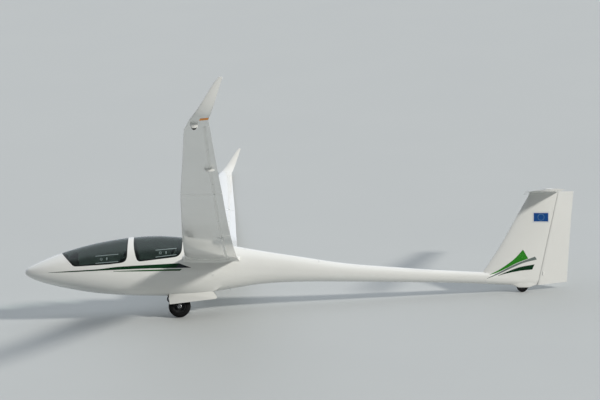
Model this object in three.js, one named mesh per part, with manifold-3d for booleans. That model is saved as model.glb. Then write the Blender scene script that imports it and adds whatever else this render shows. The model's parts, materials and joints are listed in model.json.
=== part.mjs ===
// A two-seat powered sailplane of 20 m span with a T-tail and winglets. It stands as it parks: on its
// main wheel, its tail wheel and the small wheel under its right wing tip. The wings keep the upward
// bend of flight.
// Millimetres. Inside the group "aircraft" x runs aft from the nose tip, y to the right wing, and z up
// from the bottom of the main wheel with the wings level. The outer group has z up from the ground.
import * as THREE from "three";
import { mergeVertices } from "three/addons/utils/BufferGeometryUtils.js";
import Module from "manifold-3d";

const wasm = await Module();
wasm.setup();

// Gaps: between pieces that touch, round a lid that rests on its edge, and beside what moves.
const TOUCH = 0.3;
const REST = 0.5;
const CLEAR = 5;

// Fuselage sections: station, top, bottom, height of the widest point, half width.
const FUSELAGE = [
  [0, 724, 716, 720, 4],
  [12, 757, 685, 720, 34],
  [53, 795, 651, 721, 72],
  [148, 843, 603, 722, 122],
  [340, 931, 540, 728, 190],
  [675, 1058, 463, 745, 262],
  [1186, 1194, 385, 775, 328],
  [1697, 1277, 351, 800, 353],
  [2207, 1299, 345, 820, 349],
  [2463, 1281, 348, 830, 333],
  [2760, 1240, 372, 835, 296],
  [3053, 1187, 420, 832, 254],
  [3421, 1122, 484, 822, 207],
  [3740, 1066, 532, 806, 176],
  [4378, 969, 568, 772, 142],
  [5081, 866, 570, 725, 119],
  [5895, 801, 563, 682, 103],
  [7028, 733, 544, 640, 84],
  [7740, 706, 518, 612, 70],
  [8200, 690, 512, 600, 36],
];
const FUSELAGE_LENGTH = 8200;
const FUSELAGE_RINGS = 30;
const RING_POINTS = 28;
const SHELL = 12;
const CABIN = { front: 300, back: 2490 };

// Canopy outlines in the side view: the whole canopy's cut and its two panes.
const CANOPY_BACK = 2545;
const ABOVE = 1400;
const CANOPY_CUT = [[222, ABOVE], [811, 755], [CANOPY_BACK, 880], [CANOPY_BACK, ABOVE]];
const FRONT_PANE = [
  [230, ABOVE], [770, 830], [800, 812], [1346, 844], [1569, 878], [1633, 924], [1654, ABOVE],
];
const REAR_PANE = [
  [1735, ABOVE], [1779, 925], [1824, 887], [2415, 962], [2500, 1030], [2516, ABOVE],
];
const CANOPY_SHELL = 14;
const PANE_THICKNESS = 5;
const CANOPY_HINGE = { y: 362, z: 830 };

// Wing plan: span position, leading edge, trailing edge.
const WING_PLAN = [
  [0, 2545, 3395],
  [3500, 2617, 3323],
  [6500, 2698, 3257],
  [9350, 2837, 3161],
  [9700, 2913, 3146],
];
const WING_START = 60;
const WING_JOINT = 6500;
const WING_END = 9700;
const WING_ROOT_HEIGHT = 920;
const WING_RISE = 0.06;
const WING_BEND = 1.19e-5;
const WING_HINGE = 0.83;
// Winglet: y, z, leading edge, trailing edge.
const WINGLET = [
  [9700.6, 2622.0, 2913, 3146],
  [9800, 2678, 2962, 3172],
  [9876, 2770, 3036, 3208],
  [9935, 2900, 3120, 3252],
  [9975, 3030, 3205, 3293],
  [10000, 3124, 3279, 3326],
];
// Wing section: part of the chord, upper and lower height over the chord.
const WING_PROFILE = [
  [0, 0.001, -0.001],
  [0.006, 0.013, -0.008],
  [0.025, 0.029, -0.017],
  [0.08, 0.053, -0.028],
  [0.18, 0.077, -0.037],
  [0.32, 0.091, -0.042],
  [0.46, 0.091, -0.042],
  [0.62, 0.075, -0.036],
  [WING_HINGE, 0.036, -0.013],
  [0.92, 0.019, -0.004],
  [1, 0.0025, -0.0015],
];
// Tail section: part of the chord, half height over the greatest thickness.
const TAIL_PROFILE = [
  [0, 0.01],
  [0.01, 0.16],
  [0.04, 0.27],
  [0.12, 0.4],
  [0.25, 0.485],
  [0.4, 0.5],
  [0.55, 0.44],
  [0.82, 0.19],
  [1, 0.02],
];

// Flaps and ailerons of one wing: name, inner end, outer end.
const WING_SURFACES = [
  ["flap_inner", 460, 3480],
  ["flap_outer", 3500, 6480],
  ["aileron", 6520, 9460],
];
const SURFACE_END_GAP = 8;
const WING_COVE_GAP = 12;
const TAIL_COVE_GAP = 7;
const RIB_HALF_WIDTH = 5;
// The rudder's sections aren't square to its hinge line, so its nose needs more room at the ribs.
const RUDDER_REST = 0.77;

// Fin and rudder: height, leading edge, hinge line, trailing edge, thickness over chord, chord slope.
const FIN = [
  [516, 7190, 8188, 8643, 0.082, 0.11],
  [741, 7320, 8238, 8655, 0.085, 0.08],
  [1150, 7558, 8328, 8682, 0.09, 0.05],
  [1570, 7803, 8420, 8712, 0.1, 0.03],
  [2010, 8060, 8517, 8752, 0.11, 0.02],
];
const FIN_BASE = 670;
const RUDDER_FOOT = { ahead: 45, behind: 600, half: 90, below: 150, above: 5 };
const FIN_RIBS = [850, 1750];

// Tailplane: span position, leading edge, trailing edge.
const TAILPLANE = [
  [0, 7974, 8482],
  [60, 7978, 8495],
  [1540, 8106, 8434],
  [1585, 8128, 8428],
  [1600, 8190, 8420],
];
const TAILPLANE_HEIGHT = 2000;
const TAILPLANE_THICKNESS = 0.1;
const ELEVATOR_HINGE = 8365;
const ELEVATOR_ENDS = [68, 1540];
const ELEVATOR_RIBS = [400, 1200];

// Airbrakes in the upper skin of the inner wings, each of two blades that rise one behind the other.
const AIRBRAKE = { span: 3750, length: 1300, chordPart: 0.46, depth: 76, cap: 17, slot: 23, blade: 8 };

// Wheels: centre, outer radius, crown radius.
const MAIN_WHEEL = { x: 2461, y: 0, z: 177, outer: 176, crown: 60, rim: 92, axle: 12, arm: 74 };
const TAIL_WHEEL = { x: 7931, y: 0, z: 495, outer: 90, crown: 25, rim: 45, axle: 8, slot: 32 };
const TIP_WHEEL = { x: 2970, span: 9620, drop: 62, outer: 32, crown: 9, pin: 4, slot: 14 };
const TIP_FAIRING = { radii: [52, 23, 110], half: 80, bottom: 74 };
const TAIL_FAIRING = { centre: [7954, 0, 532], radii: [214, 45, 60] };

const WHEEL_WELL = { front: 2286, back: 2990, half: 125, top: 630, wall: 25 };
const GEAR_DOOR = [
  [2290, 460], [2290, 383], [2305, 209], [3038, 297], [3052, 318], [3042, 354], [3010, 393],
  [2984, 409], [2950, 424], [2895, 460],
];
const GEAR_DOOR_THICKNESS = 6;
const FORK_TOP = { x: 2560, z: 500, radius: 18 };

const ENGINE_BAY = { front: 3500, back: 4680, half: 90, floor: 640, edge: 20 };
const ENGINE = { front: 3560, back: 4040, half: 100, top: 890 };

// Seats in the side view, from the knees over the seat to the top of the back.
const FRONT_SEAT = [[840, 600], [960, 640], [1200, 500], [1320, 470], [1400, 560], [1650, 1060]];
const REAR_SEAT = [[1745, 600], [1840, 645], [1960, 560], [2080, 530], [2180, 600], [2400, 1080]];
const SEAT_HALF_WIDTH = 230;
const SIDE_LEDGE = 720;
// The stick's radius at heights above the seat line.
const STICK = [[0, -60], [9, -60], [9, 110], [16, 125], [18, 190], [14, 215], [0, 218]];
const STICK_STATIONS = { front: 985, rear: 1866 };
// The rear panel and the beam that carries it: stations, half width, heights.
const REAR_PANEL = { stations: [1695, 1735], half: 185, heights: [790, 1010] };
const REAR_BEAM = { stations: [1695, 1725], heights: [745, 800] };
const POD_HALF = 165;
const POD = [[640, 905], [700, 935], [822, 948], [846, 915], [815, 640], [770, 400], [690, 400]];

const PAINT = {
  white: { color: 0xf2f3f2, roughness: 0.18, metalness: 0 },
  glass: { color: 0x8fa3a8, roughness: 0.03, metalness: 0, transparent: true, opacity: 0.35 },
  rubber: { color: 0x1b1b1c, roughness: 0.8, metalness: 0 },
  metal: { color: 0xb9bcc0, roughness: 0.35, metalness: 1 },
  dark: { color: 0x2a2c2f, roughness: 0.6, metalness: 0 },
  cloth: { color: 0x55595f, roughness: 0.95, metalness: 0 },
  tray: { color: 0xc9cbc8, roughness: 0.5, metalness: 0 },
};

const X = new THREE.Vector3(1, 0, 0);
const vector = (x, y, z) => new THREE.Vector3(x, y, z);

// Solids

function solidFrom(positions, faces) {
  return new wasm.Manifold(
    new wasm.Mesh({
      numProp: 3,
      vertProperties: new Float32Array(positions),
      triVerts: new Uint32Array(faces),
    }),
  );
}

function solidOf(geometry) {
  geometry.deleteAttribute("normal");
  geometry.deleteAttribute("uv");
  const merged = mergeVertices(geometry, 1e-3);
  return solidFrom(merged.attributes.position.array, merged.index.array);
}

function geometryOf(solid) {
  const mesh = solid.getMesh();
  const geometry = new THREE.BufferGeometry();
  geometry.setAttribute("position", new THREE.BufferAttribute(mesh.vertProperties, 3));
  geometry.setIndex(new THREE.BufferAttribute(mesh.triVerts, 1));
  geometry.computeVertexNormals();
  return geometry;
}

// A closed solid through rings of equally many points, capped by fans about the end rings' middles.
function loft(rings) {
  const size = rings[0].length;
  const points = rings.flat();
  const faces = [];
  for (let ring = 0; ring + 1 < rings.length; ring++) {
    for (let i = 0; i < size; i++) {
      const a = ring * size + i;
      const b = ring * size + ((i + 1) % size);
      faces.push(a, b, b + size, a, b + size, a + size);
    }
  }
  const last = (rings.length - 1) * size;
  for (const start of [0, last]) {
    const middle = vector(0, 0, 0);
    for (let i = 0; i < size; i++) middle.addScaledVector(points[start + i], 1 / size);
    const tip = points.push(middle) - 1;
    for (let i = 0; i < size; i++) {
      const a = start + i;
      const b = start + ((i + 1) % size);
      if (start === 0) faces.push(b, a, tip);
      else faces.push(a, b, tip);
    }
  }
  let volume = 0;
  for (let i = 0; i < faces.length; i += 3) {
    const [a, b, c] = [points[faces[i]], points[faces[i + 1]], points[faces[i + 2]]];
    volume += a.dot(b.clone().cross(c));
  }
  if (volume < 0) faces.reverse();
  return solidFrom(points.flatMap((p) => [p.x, p.y, p.z]), faces);
}

// An outline of the side view, extruded to both sides of y.
function prism(outline, half, y = 0) {
  const shape = new THREE.Shape(outline.map(([x, z]) => new THREE.Vector2(x, z)));
  const geometry = new THREE.ExtrudeGeometry(shape, { depth: 2 * half, bevelEnabled: false });
  return solidOf(geometry.rotateX(Math.PI / 2).translate(0, y + half, 0));
}

function box([x0, x1], [y0, y1], [z0, z1]) {
  const geometry = new THREE.BoxGeometry(x1 - x0, y1 - y0, z1 - z0);
  return solidOf(geometry.translate((x0 + x1) / 2, (y0 + y1) / 2, (z0 + z1) / 2));
}

function crossTube(radius, half, x, z, y = 0) {
  return solidOf(new THREE.CylinderGeometry(radius, radius, 2 * half, 20).translate(x, y, z));
}

function ellipsoid(centre, radii) {
  const geometry = new THREE.SphereGeometry(1, 16, 10);
  return solidOf(geometry.scale(...radii).translate(...centre));
}

// A wheel or ring about the y axis: flat sides, round crown, centre hole.
function ringSolid(outer, crown, hole, segments, crownSteps) {
  const profile = [new THREE.Vector2(hole, -crown)];
  for (let i = 0; i <= crownSteps; i++) {
    const angle = -Math.PI / 2 + (Math.PI * i) / crownSteps;
    profile.push(
      new THREE.Vector2(outer - crown + crown * Math.cos(angle), crown * Math.sin(angle)),
    );
  }
  profile.push(new THREE.Vector2(hole, crown), new THREE.Vector2(hole, -crown));
  return solidOf(new THREE.LatheGeometry(profile, segments));
}

function turned(profile, segments) {
  const points = profile.map(([radius, y]) => new THREE.Vector2(radius, y));
  return solidOf(new THREE.LatheGeometry(points, segments));
}

// Lines in the side view

// The line moved sideways by a distance, to its left as it runs.
function besideLine(line, distance) {
  const normals = line.slice(1).map(([x, z], i) => {
    const length = Math.hypot(x - line[i][0], z - line[i][1]);
    return [-(z - line[i][1]) / length, (x - line[i][0]) / length];
  });
  return line.map(([x, z], i) => {
    const [ax, az] = normals[Math.max(i - 1, 0)];
    const [bx, bz] = normals[Math.min(i, normals.length - 1)];
    const reach = distance / (1 + ax * bx + az * bz);
    return [x + (ax + bx) * reach, z + (az + bz) * reach];
  });
}

const strip = (line, low, high) => [
  ...besideLine(line, low),
  ...besideLine(line, high).reverse(),
];

// Everything below a line, and a little above it.
const under = (line, above) => [
  [line[0][0], 0],
  [line.at(-1)[0], 0],
  ...besideLine(line, above).reverse(),
];

// The stretch of a line between two stations.
function stretch(line, from, to) {
  const heightAt = (x) => {
    const i = line.findIndex(([px]) => px >= x);
    const part = (x - line[i - 1][0]) / (line[i][0] - line[i - 1][0]);
    return line[i - 1][1] + part * (line[i][1] - line[i - 1][1]);
  };
  const inside = line.filter(([x]) => x > from && x < to);
  return [[from, heightAt(from)], ...inside, [to, heightAt(to)]];
}

// A closed outline drawn in by a distance. Its points run anticlockwise.
function drawnIn(outline, distance) {
  const wrapped = [outline.at(-1), ...outline, outline[0]];
  return besideLine(wrapped, distance).slice(1, -1);
}

// Fuselage

// A column of the table at a station: a smooth curve over the square root of the station.
function fuselageValue(column, station) {
  const rows = FUSELAGE.map((row) => [Math.sqrt(row[0]), row[column]]);
  const u = Math.sqrt(station);
  const found = rows.findIndex(([start]) => start > u);
  const i = (found < 0 ? rows.length - 1 : Math.max(found, 1)) - 1;
  const secant = (k) => (rows[k + 1][1] - rows[k][1]) / (rows[k + 1][0] - rows[k][0]);
  const slope = (k) => {
    if (k === 0) return secant(0);
    if (k === rows.length - 1) return secant(k - 1);
    const before = rows[k][0] - rows[k - 1][0];
    const after = rows[k + 1][0] - rows[k][0];
    return (secant(k - 1) * after + secant(k) * before) / (before + after);
  };
  const width = rows[i + 1][0] - rows[i][0];
  const t = (u - rows[i][0]) / width;
  const start = rows[i][1] * (1 + 2 * t) * (1 - t) ** 2 + slope(i) * width * t * (1 - t) ** 2;
  const end = rows[i + 1][1] * t * t * (3 - 2 * t) + slope(i + 1) * width * t * t * (t - 1);
  return start + end;
}

function fuselageRing(station, inset) {
  const [top, bottom, waist, half] = [1, 2, 3, 4].map((c) => fuselageValue(c, station));
  const ring = [];
  for (let i = 0; i < RING_POINTS; i++) {
    const angle = (2 * Math.PI * i) / RING_POINTS;
    const rise = Math.cos(angle) > 0 ? top - inset - waist : waist - bottom - inset;
    ring.push(
      vector(station, (half - inset) * Math.sin(angle), waist + rise * Math.cos(angle)),
    );
  }
  return ring;
}

// The fuselage's form between two stations, drawn in by an inset.
function hull(from, to, inset) {
  const [start, end] = [Math.sqrt(from), Math.sqrt(to)];
  const count = Math.ceil((FUSELAGE_RINGS * (end - start)) / Math.sqrt(FUSELAGE_LENGTH));
  const rings = [];
  for (let i = 0; i <= count; i++) {
    rings.push(fuselageRing((start + ((end - start) * i) / count) ** 2, inset));
  }
  return loft(rings);
}

// Height of the fuselage's skin at a station, at a distance from the middle.
function skinHeight(station, y) {
  const [top, , waist, half] = [1, 2, 3, 4].map((c) => fuselageValue(c, station));
  return waist + (top - waist) * Math.sqrt(1 - (y / half) ** 2);
}

// Wing and tail sections. A section is its nose, the directions along its chord and up, its chord,
// and its profile's upper and lower height at a part of the chord.

function linear(rows, column, at) {
  const i = Math.max(rows.findIndex((row) => row[0] >= at), 1);
  const part = (at - rows[i - 1][0]) / (rows[i][0] - rows[i - 1][0]);
  return rows[i - 1][column] + part * (rows[i][column] - rows[i - 1][column]);
}

const wingHeight = (span) => WING_ROOT_HEIGHT + WING_RISE * span + WING_BEND * span * span;
const wingTilt = (span) => Math.atan(WING_RISE + 2 * WING_BEND * span);

function wingHeights(part) {
  return [linear(WING_PROFILE, 1, part), linear(WING_PROFILE, 2, part)];
}

function wingSection(span, side) {
  const front = linear(WING_PLAN, 1, span);
  const tilt = wingTilt(span);
  return {
    nose: vector(front, side * span, wingHeight(span)),
    along: X,
    up: vector(0, -side * Math.sin(tilt), Math.cos(tilt)),
    chord: linear(WING_PLAN, 2, span) - front,
    heights: wingHeights,
    hinge: WING_HINGE,
  };
}

function tailHeights(thickness) {
  return (part) => {
    const half = linear(TAIL_PROFILE, 1, part) * thickness;
    return [half, -half];
  };
}

function finSection(height) {
  const [front, hinge, back, thickness, slope] = [1, 2, 3, 4, 5].map((c) => linear(FIN, c, height));
  return {
    nose: vector(front, 0, height + slope * (front - hinge)),
    along: vector(1, 0, slope),
    up: vector(0, 1, 0),
    chord: back - front,
    heights: tailHeights(thickness),
    hinge: (hinge - front) / (back - front),
  };
}

function tailplaneSection(span, side) {
  const front = linear(TAILPLANE, 1, span);
  const chord = linear(TAILPLANE, 2, span) - front;
  return {
    nose: vector(front, side * span, TAILPLANE_HEIGHT),
    along: X,
    up: vector(0, 0, 1),
    chord,
    heights: tailHeights(TAILPLANE_THICKNESS),
    hinge: (ELEVATOR_HINGE - front) / chord,
  };
}

function pointOn(section, along, height) {
  return section.nose
    .clone()
    .addScaledVector(section.along, along)
    .addScaledVector(section.up, height);
}

// The closed outline of a whole section, thicker by twice the growth.
function sectionRing(section, parts, growth = 0) {
  const upper = parts.map((part) => [part, section.heights(part)[0] * section.chord + growth]);
  const lower = parts.map((part) => [part, section.heights(part)[1] * section.chord - growth]);
  return [...upper.reverse(), ...lower].map(([part, height]) =>
    pointOn(section, part * section.chord + growth * (2 * part - 1), height),
  );
}

// The hinge of a section: its place along the chord, its height and half the thickness there.
function hingeOf(section) {
  const [upper, lower] = section.heights(section.hinge).map((h) => h * section.chord);
  return {
    along: section.hinge * section.chord,
    height: (upper + lower) / 2,
    radius: (upper - lower) / 2,
  };
}

function hingePoint(section) {
  const { along, height } = hingeOf(section);
  return pointOn(section, along, height);
}

const NOSE_ANGLES = [90, 112.5, 135, 157.5, 180, 202.5, 225, 247.5, 270];
const COVE_ANGLES = [90, 110, 128, 130, 155, 180, 205, 230, 232, 250, 270];
const SEAT_ANGLES = [130, 230];
const SEAT_HALF_STEP = (12.5 * Math.PI) / 180;

function around(section, centre, angle, radius) {
  const radians = (angle * Math.PI) / 180;
  return pointOn(
    section,
    centre.along + radius * Math.cos(radians),
    centre.height + radius * Math.sin(radians),
  );
}

// A control surface's section: a round nose about its hinge, and the profile behind it.
function surfaceRing(section, parts) {
  const centre = hingeOf(section);
  const behind = parts.filter((part) => part > section.hinge + 0.01);
  const at = (part, face) =>
    pointOn(section, part * section.chord, section.heights(part)[face] * section.chord);
  return [
    ...behind.toReversed().map((part) => at(part, 0)),
    ...NOSE_ANGLES.map((angle) => around(section, centre, angle, centre.radius)),
    ...behind.map((part) => at(part, 1)),
  ];
}

// What is cut from the fixed section for a surface. At a hinge rib the cove reaches the nose.
function coveRing(section, gap, atRib, rest) {
  const centre = hingeOf(section);
  const seatRadius = (centre.radius + rest) / Math.cos(SEAT_HALF_STEP);
  const radius = centre.radius + gap;
  const reach = (1 - section.hinge) * section.chord + 60;
  const arc = COVE_ANGLES.map((angle) => {
    const seated = atRib && angle >= SEAT_ANGLES[0] && angle <= SEAT_ANGLES[1];
    return around(section, centre, angle, seated ? seatRadius : radius);
  });
  return [
    ...arc,
    pointOn(section, centre.along + reach, centre.height - radius),
    pointOn(section, centre.along + reach, centre.height + radius),
  ];
}

// Positions from one to another in even steps no longer than a step.
function steps(from, to, step) {
  const count = Math.ceil(Math.abs(to - from) / step);
  return Array.from({ length: count + 1 }, (_, i) => from + ((to - from) * i) / count);
}

const ribEdges = (ribs) => ribs.flatMap((rib) => [rib - RIB_HALF_WIDTH, rib + RIB_HALF_WIDTH]);

// The cut for surfaces between two positions, with a rib standing at each of some positions.
function coveCut(sectionAt, [from, to], ribs, gap, step, rest = REST) {
  const cut = (start, end, atRib) =>
    loft(steps(start, end, step).map((at) => coveRing(sectionAt(at), gap, atRib, rest)));
  const edges = [from, ...ribEdges(ribs), to];
  let solid = cut(edges[0], edges[1], false);
  for (let i = 1; i + 1 < edges.length; i++) {
    const atRib = i % 2 === 1;
    const overlap = atRib ? 1 : 0;
    solid = solid.add(cut(edges[i] - overlap, edges[i + 1] + overlap, atRib));
  }
  return solid;
}

// A control surface between two positions, with sections at the edges of its ribs.
function surfaceSolid(sectionAt, [from, to], ribs, parts, step) {
  const edges = [from, ...ribEdges(ribs), to];
  const positions = edges.slice(1).flatMap((end, i) => steps(edges[i], end, step).slice(1));
  return loft([from, ...positions].map((at) => surfaceRing(sectionAt(at), parts)));
}

// Axes of what moves, as a point and a direction, for whoever poses it
const axes = {};
function noteAxis(name, from, to) {
  axes[name] = { point: from.clone().lerp(to, 0.5), direction: to.clone().sub(from).normalize() };
}

const aircraft = new THREE.Group();
const paints = Object.fromEntries(
  Object.entries(PAINT).map(([name, look]) => [name, new THREE.MeshStandardMaterial(look)]),
);

function place(name, solid, paint, position = [0, 0, 0]) {
  const mesh = new THREE.Mesh(geometryOf(solid), paints[paint].clone());
  mesh.name = name;
  mesh.position.set(...position);
  aircraft.add(mesh);
}

const wingParts = WING_PROFILE.map((row) => row[0]);
const tailParts = TAIL_PROFILE.map((row) => row[0]);
const outer = hull(0, FUSELAGE_LENGTH, 0);
const outerWithGap = hull(0, FUSELAGE_LENGTH, -TOUCH);

// Fin and rudder

function finSolid() {
  const heights = steps(FIN_BASE, TAILPLANE_HEIGHT - 3, 180);
  const whole = loft(heights.map((z) => sectionRing(finSection(z), tailParts)));
  return whole.subtract(tailplaneSolid(2 * TOUCH));
}

function rudderCut() {
  const range = [FIN[0][0], FIN.at(-1)[0]];
  const cut = coveCut(finSection, range, FIN_RIBS, TAIL_COVE_GAP, 400, RUDDER_REST);
  const { x, z } = hingePoint(finSection(range[0]));
  const { ahead, behind, half, below, above } = RUDDER_FOOT;
  return cut.add(box([x - ahead, x + behind], [-half, half], [z - below, z + above]));
}

function addRudder() {
  const range = [FIN[0][0], FIN.at(-1)[0]];
  place("rudder", surfaceSolid(finSection, range, FIN_RIBS, tailParts, 400), "white");
  noteAxis("rudder", ...range.map((height) => hingePoint(finSection(height))));
}

// Tailplane and elevators

function tailplaneSolid(growth) {
  const spans = TAILPLANE.map((row) => row[0]);
  const rings = [
    ...spans.toReversed().map((span) => tailplaneSection(span, -1)),
    ...spans.slice(1).map((span) => tailplaneSection(span, 1)),
  ];
  return loft(rings.map((section) => sectionRing(section, tailParts, growth)));
}

function addTailplane() {
  let fixed = tailplaneSolid(0);
  for (const [side, name] of [[-1, "left"], [1, "right"]]) {
    const at = (span) => tailplaneSection(span, side);
    const [inner, end] = ELEVATOR_ENDS;
    const range = [inner - SURFACE_END_GAP, end + SURFACE_END_GAP];
    fixed = fixed.subtract(coveCut(at, range, ELEVATOR_RIBS, TAIL_COVE_GAP, 1500));
    const elevator = surfaceSolid(at, ELEVATOR_ENDS, ELEVATOR_RIBS, tailParts, 1500);
    place(`elevator_${name}`, elevator, "white");
  }
  place("tailplane", fixed, "white");
  const [port, starboard] = [-1, 1].map((side) => hingePoint(tailplaneSection(500, side)));
  noteAxis("elevator", port, starboard);
}

// Wings

// A curved surface turns about a straight line. The ribs stand where its nose lies on that line.
function surfaceRibs(inner, end) {
  const reach = (end - inner) / 2 / Math.SQRT2;
  return [(inner + end) / 2 - reach, (inner + end) / 2 + reach];
}

function noteSurfaceAxis(name, side, inner, end) {
  const sag = WING_BEND * ((end - inner) / 2) ** 2;
  const [a, b] = [inner, end].map((span) => {
    const section = wingSection(span, side);
    return hingePoint(section).addScaledVector(section.up, -sag / 2);
  });
  noteAxis(name, side > 0 ? a : b, side > 0 ? b : a);
}

function wingLoft(from, to, side, growth = 0) {
  return loft(
    steps(from, to, 600).map((span) => sectionRing(wingSection(span, side), wingParts, growth)),
  );
}

function surfaceCut(side, [from, to], surfaces) {
  const ribs = surfaces.flatMap(([, inner, end]) => surfaceRibs(inner, end));
  return coveCut((span) => wingSection(span, side), [from, to], ribs, WING_COVE_GAP, 600);
}

// A frame with z out of a section and y along the span.
function frameOf(section, origin) {
  const along = section.up.clone().cross(X);
  return new THREE.Matrix4().makeBasis(X, along, section.up).setPosition(origin);
}

// The frame of an airbrake, with its origin in the upper skin.
function airbrakeFrame(side) {
  const section = wingSection(AIRBRAKE.span, side);
  const part = AIRBRAKE.chordPart;
  const height = section.heights(part)[0] * section.chord;
  return frameOf(section, pointOn(section, part * section.chord, height));
}

function boxInFrame(frame, [x0, x1], half, [z0, z1]) {
  const geometry = new THREE.BoxGeometry(x1 - x0, 2 * half, z1 - z0);
  return solidOf(geometry.translate((x0 + x1) / 2, 0, (z0 + z1) / 2).applyMatrix4(frame));
}

function addAirbrakes(side, name) {
  const frame = airbrakeFrame(side);
  const { length, depth, cap, blade } = AIRBRAKE;
  const foot = TOUCH - depth;
  const capBottom = -6;
  const lid = boxInFrame(frame, [-cap, cap], length / 2, [capBottom, -1]);
  const upper = boxInFrame(frame, [-blade - 1, -1], length / 2 - 5, [foot, capBottom + 1]);
  place(`airbrake_upper_${name}`, lid.add(upper), "white");
  const lowerFront = CLEAR;
  place(
    `airbrake_lower_${name}`,
    boxInFrame(frame, [lowerFront, lowerFront + blade], length / 2 - 5, [foot, capBottom - CLEAR]),
    "metal",
  );
  const origin = vector(0, 0, 0).applyMatrix4(frame);
  const above = vector(0, 0, 1).applyMatrix4(frame);
  for (const blades of ["upper", "lower"]) noteAxis(`airbrake_${blades}_${name}`, origin, above);
}

function addWing(side, name) {
  const [flapInner, flapOuter, aileron] = WING_SURFACES;
  const { length, depth, slot } = AIRBRAKE;
  const slotCut = boxInFrame(airbrakeFrame(side), [-slot, slot], length / 2 + 6, [-depth, 40]);
  const innerEnd = WING_JOINT - TOUCH / 2;
  const inner = wingLoft(WING_START, innerEnd, side)
    .subtract(outerWithGap)
    .subtract(surfaceCut(side, [flapInner[1] - SURFACE_END_GAP, WING_JOINT + 5], [flapInner, flapOuter]))
    .subtract(slotCut);
  place(`wing_inner_${name}`, inner, "white");

  const outerWing = wingLoft(WING_JOINT + TOUCH / 2, WING_END, side).subtract(
    surfaceCut(side, [WING_JOINT - 5, aileron[2] + SURFACE_END_GAP], [aileron]),
  );
  place(`wing_outer_${name}`, outerWing, "white");

  for (const [surface, start, end] of WING_SURFACES) {
    const at = (span) => wingSection(span, side);
    const solid = surfaceSolid(at, [start, end], surfaceRibs(start, end), wingParts, 600);
    place(`${surface}_${name}`, solid, "white");
    noteSurfaceAxis(`${surface}_${name}`, side, start, end);
  }
}

function addWinglet(side, name) {
  const rings = WINGLET.map(([y, z, front, back], i) => {
    const before = WINGLET[Math.max(i - 1, 0)];
    const after = WINGLET[Math.min(i + 1, WINGLET.length - 1)];
    const tilt = i === 0 ? wingTilt(y) : Math.atan2(after[1] - before[1], after[0] - before[0]);
    const section = {
      nose: vector(front, side * y, z),
      along: X,
      up: vector(0, -side * Math.sin(tilt), Math.cos(tilt)),
      chord: back - front,
      heights: wingHeights,
    };
    return sectionRing(section, wingParts);
  });
  place(`winglet_${name}`, loft(rings), "white");
}

// The wheel under a wing tip turns on a pin across the slot of its fairing.
function addTipWheel(side, name) {
  const { x, span, drop, outer: radius, crown, pin, slot } = TIP_WHEEL;
  const centre = [x, side * span, wingHeight(span) - drop];
  const fairing = ellipsoid([x, side * span, wingHeight(span)], TIP_FAIRING.radii);
  const section = wingSection(span, side);
  const frame = frameOf(section, pointOn(section, x - section.nose.x, 0));
  const slotCut = crossTube(radius + CLEAR, slot, centre[0], centre[2], centre[1]);
  const solid = fairing
    .intersect(boxInFrame(frame, [-TIP_FAIRING.half, TIP_FAIRING.half], 40, [-TIP_FAIRING.bottom, -3]))
    .subtract(wingLoft(span - 200, WING_END, side, TOUCH))
    .subtract(slotCut)
    .add(crossTube(pin, slot + 2, centre[0], centre[2], centre[1]));
  place(`tip_wheel_fairing_${name}`, solid, "white");
  place(`tip_wheel_${name}`, ringSolid(radius, crown, pin + 0.6, 16, 4), "rubber", centre);
  noteAxis(`tip_wheel_${name}`, vector(...centre), vector(centre[0], centre[1] + 1, centre[2]));
}

// Fuselage shell with its fin, and what opens in it

const cabinForm = (growth) =>
  hull(CABIN.front + growth, CABIN.back - growth, SHELL + growth).subtract(
    box(
      [WHEEL_WELL.front - WHEEL_WELL.wall - growth, CABIN.back + 50],
      [-WHEEL_WELL.half - WHEEL_WELL.wall - growth, WHEEL_WELL.half + WHEEL_WELL.wall + growth],
      [200, WHEEL_WELL.top + WHEEL_WELL.wall + growth],
    ),
  );

function engineBay() {
  const { front, back, half, floor, edge } = ENGINE_BAY;
  const room = hull(front - edge, back + edge, SHELL).intersect(
    box([front - edge, back + edge], [-400, 400], [floor, ABOVE]),
  );
  const mouth = box([front, back], [-half, half], [floor + 100, ABOVE]);
  return room.add(mouth);
}

function addFuselage() {
  const { x, z, outer: radius, slot } = TAIL_WHEEL;
  const tailFairing = ellipsoid(TAIL_FAIRING.centre, TAIL_FAIRING.radii);
  const wheelSlot = crossTube(radius + 8, slot, x, z);
  const well = box(
    [WHEEL_WELL.front, WHEEL_WELL.back],
    [-WHEEL_WELL.half, WHEEL_WELL.half],
    [100, WHEEL_WELL.top],
  );
  const shell = outer
    .add(finSolid())
    .add(tailFairing)
    .subtract(cabinForm(0))
    .subtract(prism(CANOPY_CUT, 500))
    .subtract(well)
    .subtract(engineBay())
    .subtract(wheelSlot)
    .subtract(rudderCut());
  place("fuselage", shell, "white");
}

function addEngineBay() {
  const { front, back, half, floor } = ENGINE_BAY;
  const shell = outer.subtract(hull(front - 50, back + 50, SHELL));
  for (const [side, name] of [[-1, "left"], [1, "right"]]) {
    const across = [side * CLEAR / 2, side * (half - REST)].sort((a, b) => a - b);
    const door = shell.intersect(box([front + CLEAR, back - CLEAR], across, [floor + 100, ABOVE]));
    place(`engine_door_${name}`, door, "white");
    // The axis lies just above the door's outer edge all along, so the edge moves away from its seat.
    const y = half - REST / 2;
    const [a, b] = [front, back].map((station) => vector(station, side * y, skinHeight(station, y)));
    let above = 0;
    for (const station of steps(front, back, 100)) {
      const chord = a.z + ((b.z - a.z) * (station - front)) / (back - front);
      above = Math.max(above, skinHeight(station, y) - chord);
    }
    a.z += above + 1;
    b.z += above + 1;
    noteAxis(`engine_door_${name}`, side > 0 ? b : a, side > 0 ? a : b);
  }
  const engine = box([ENGINE.front, ENGINE.back], [-ENGINE.half, ENGINE.half], [floor + TOUCH, ENGINE.top]);
  place("engine", engine, "metal");
}

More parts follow.
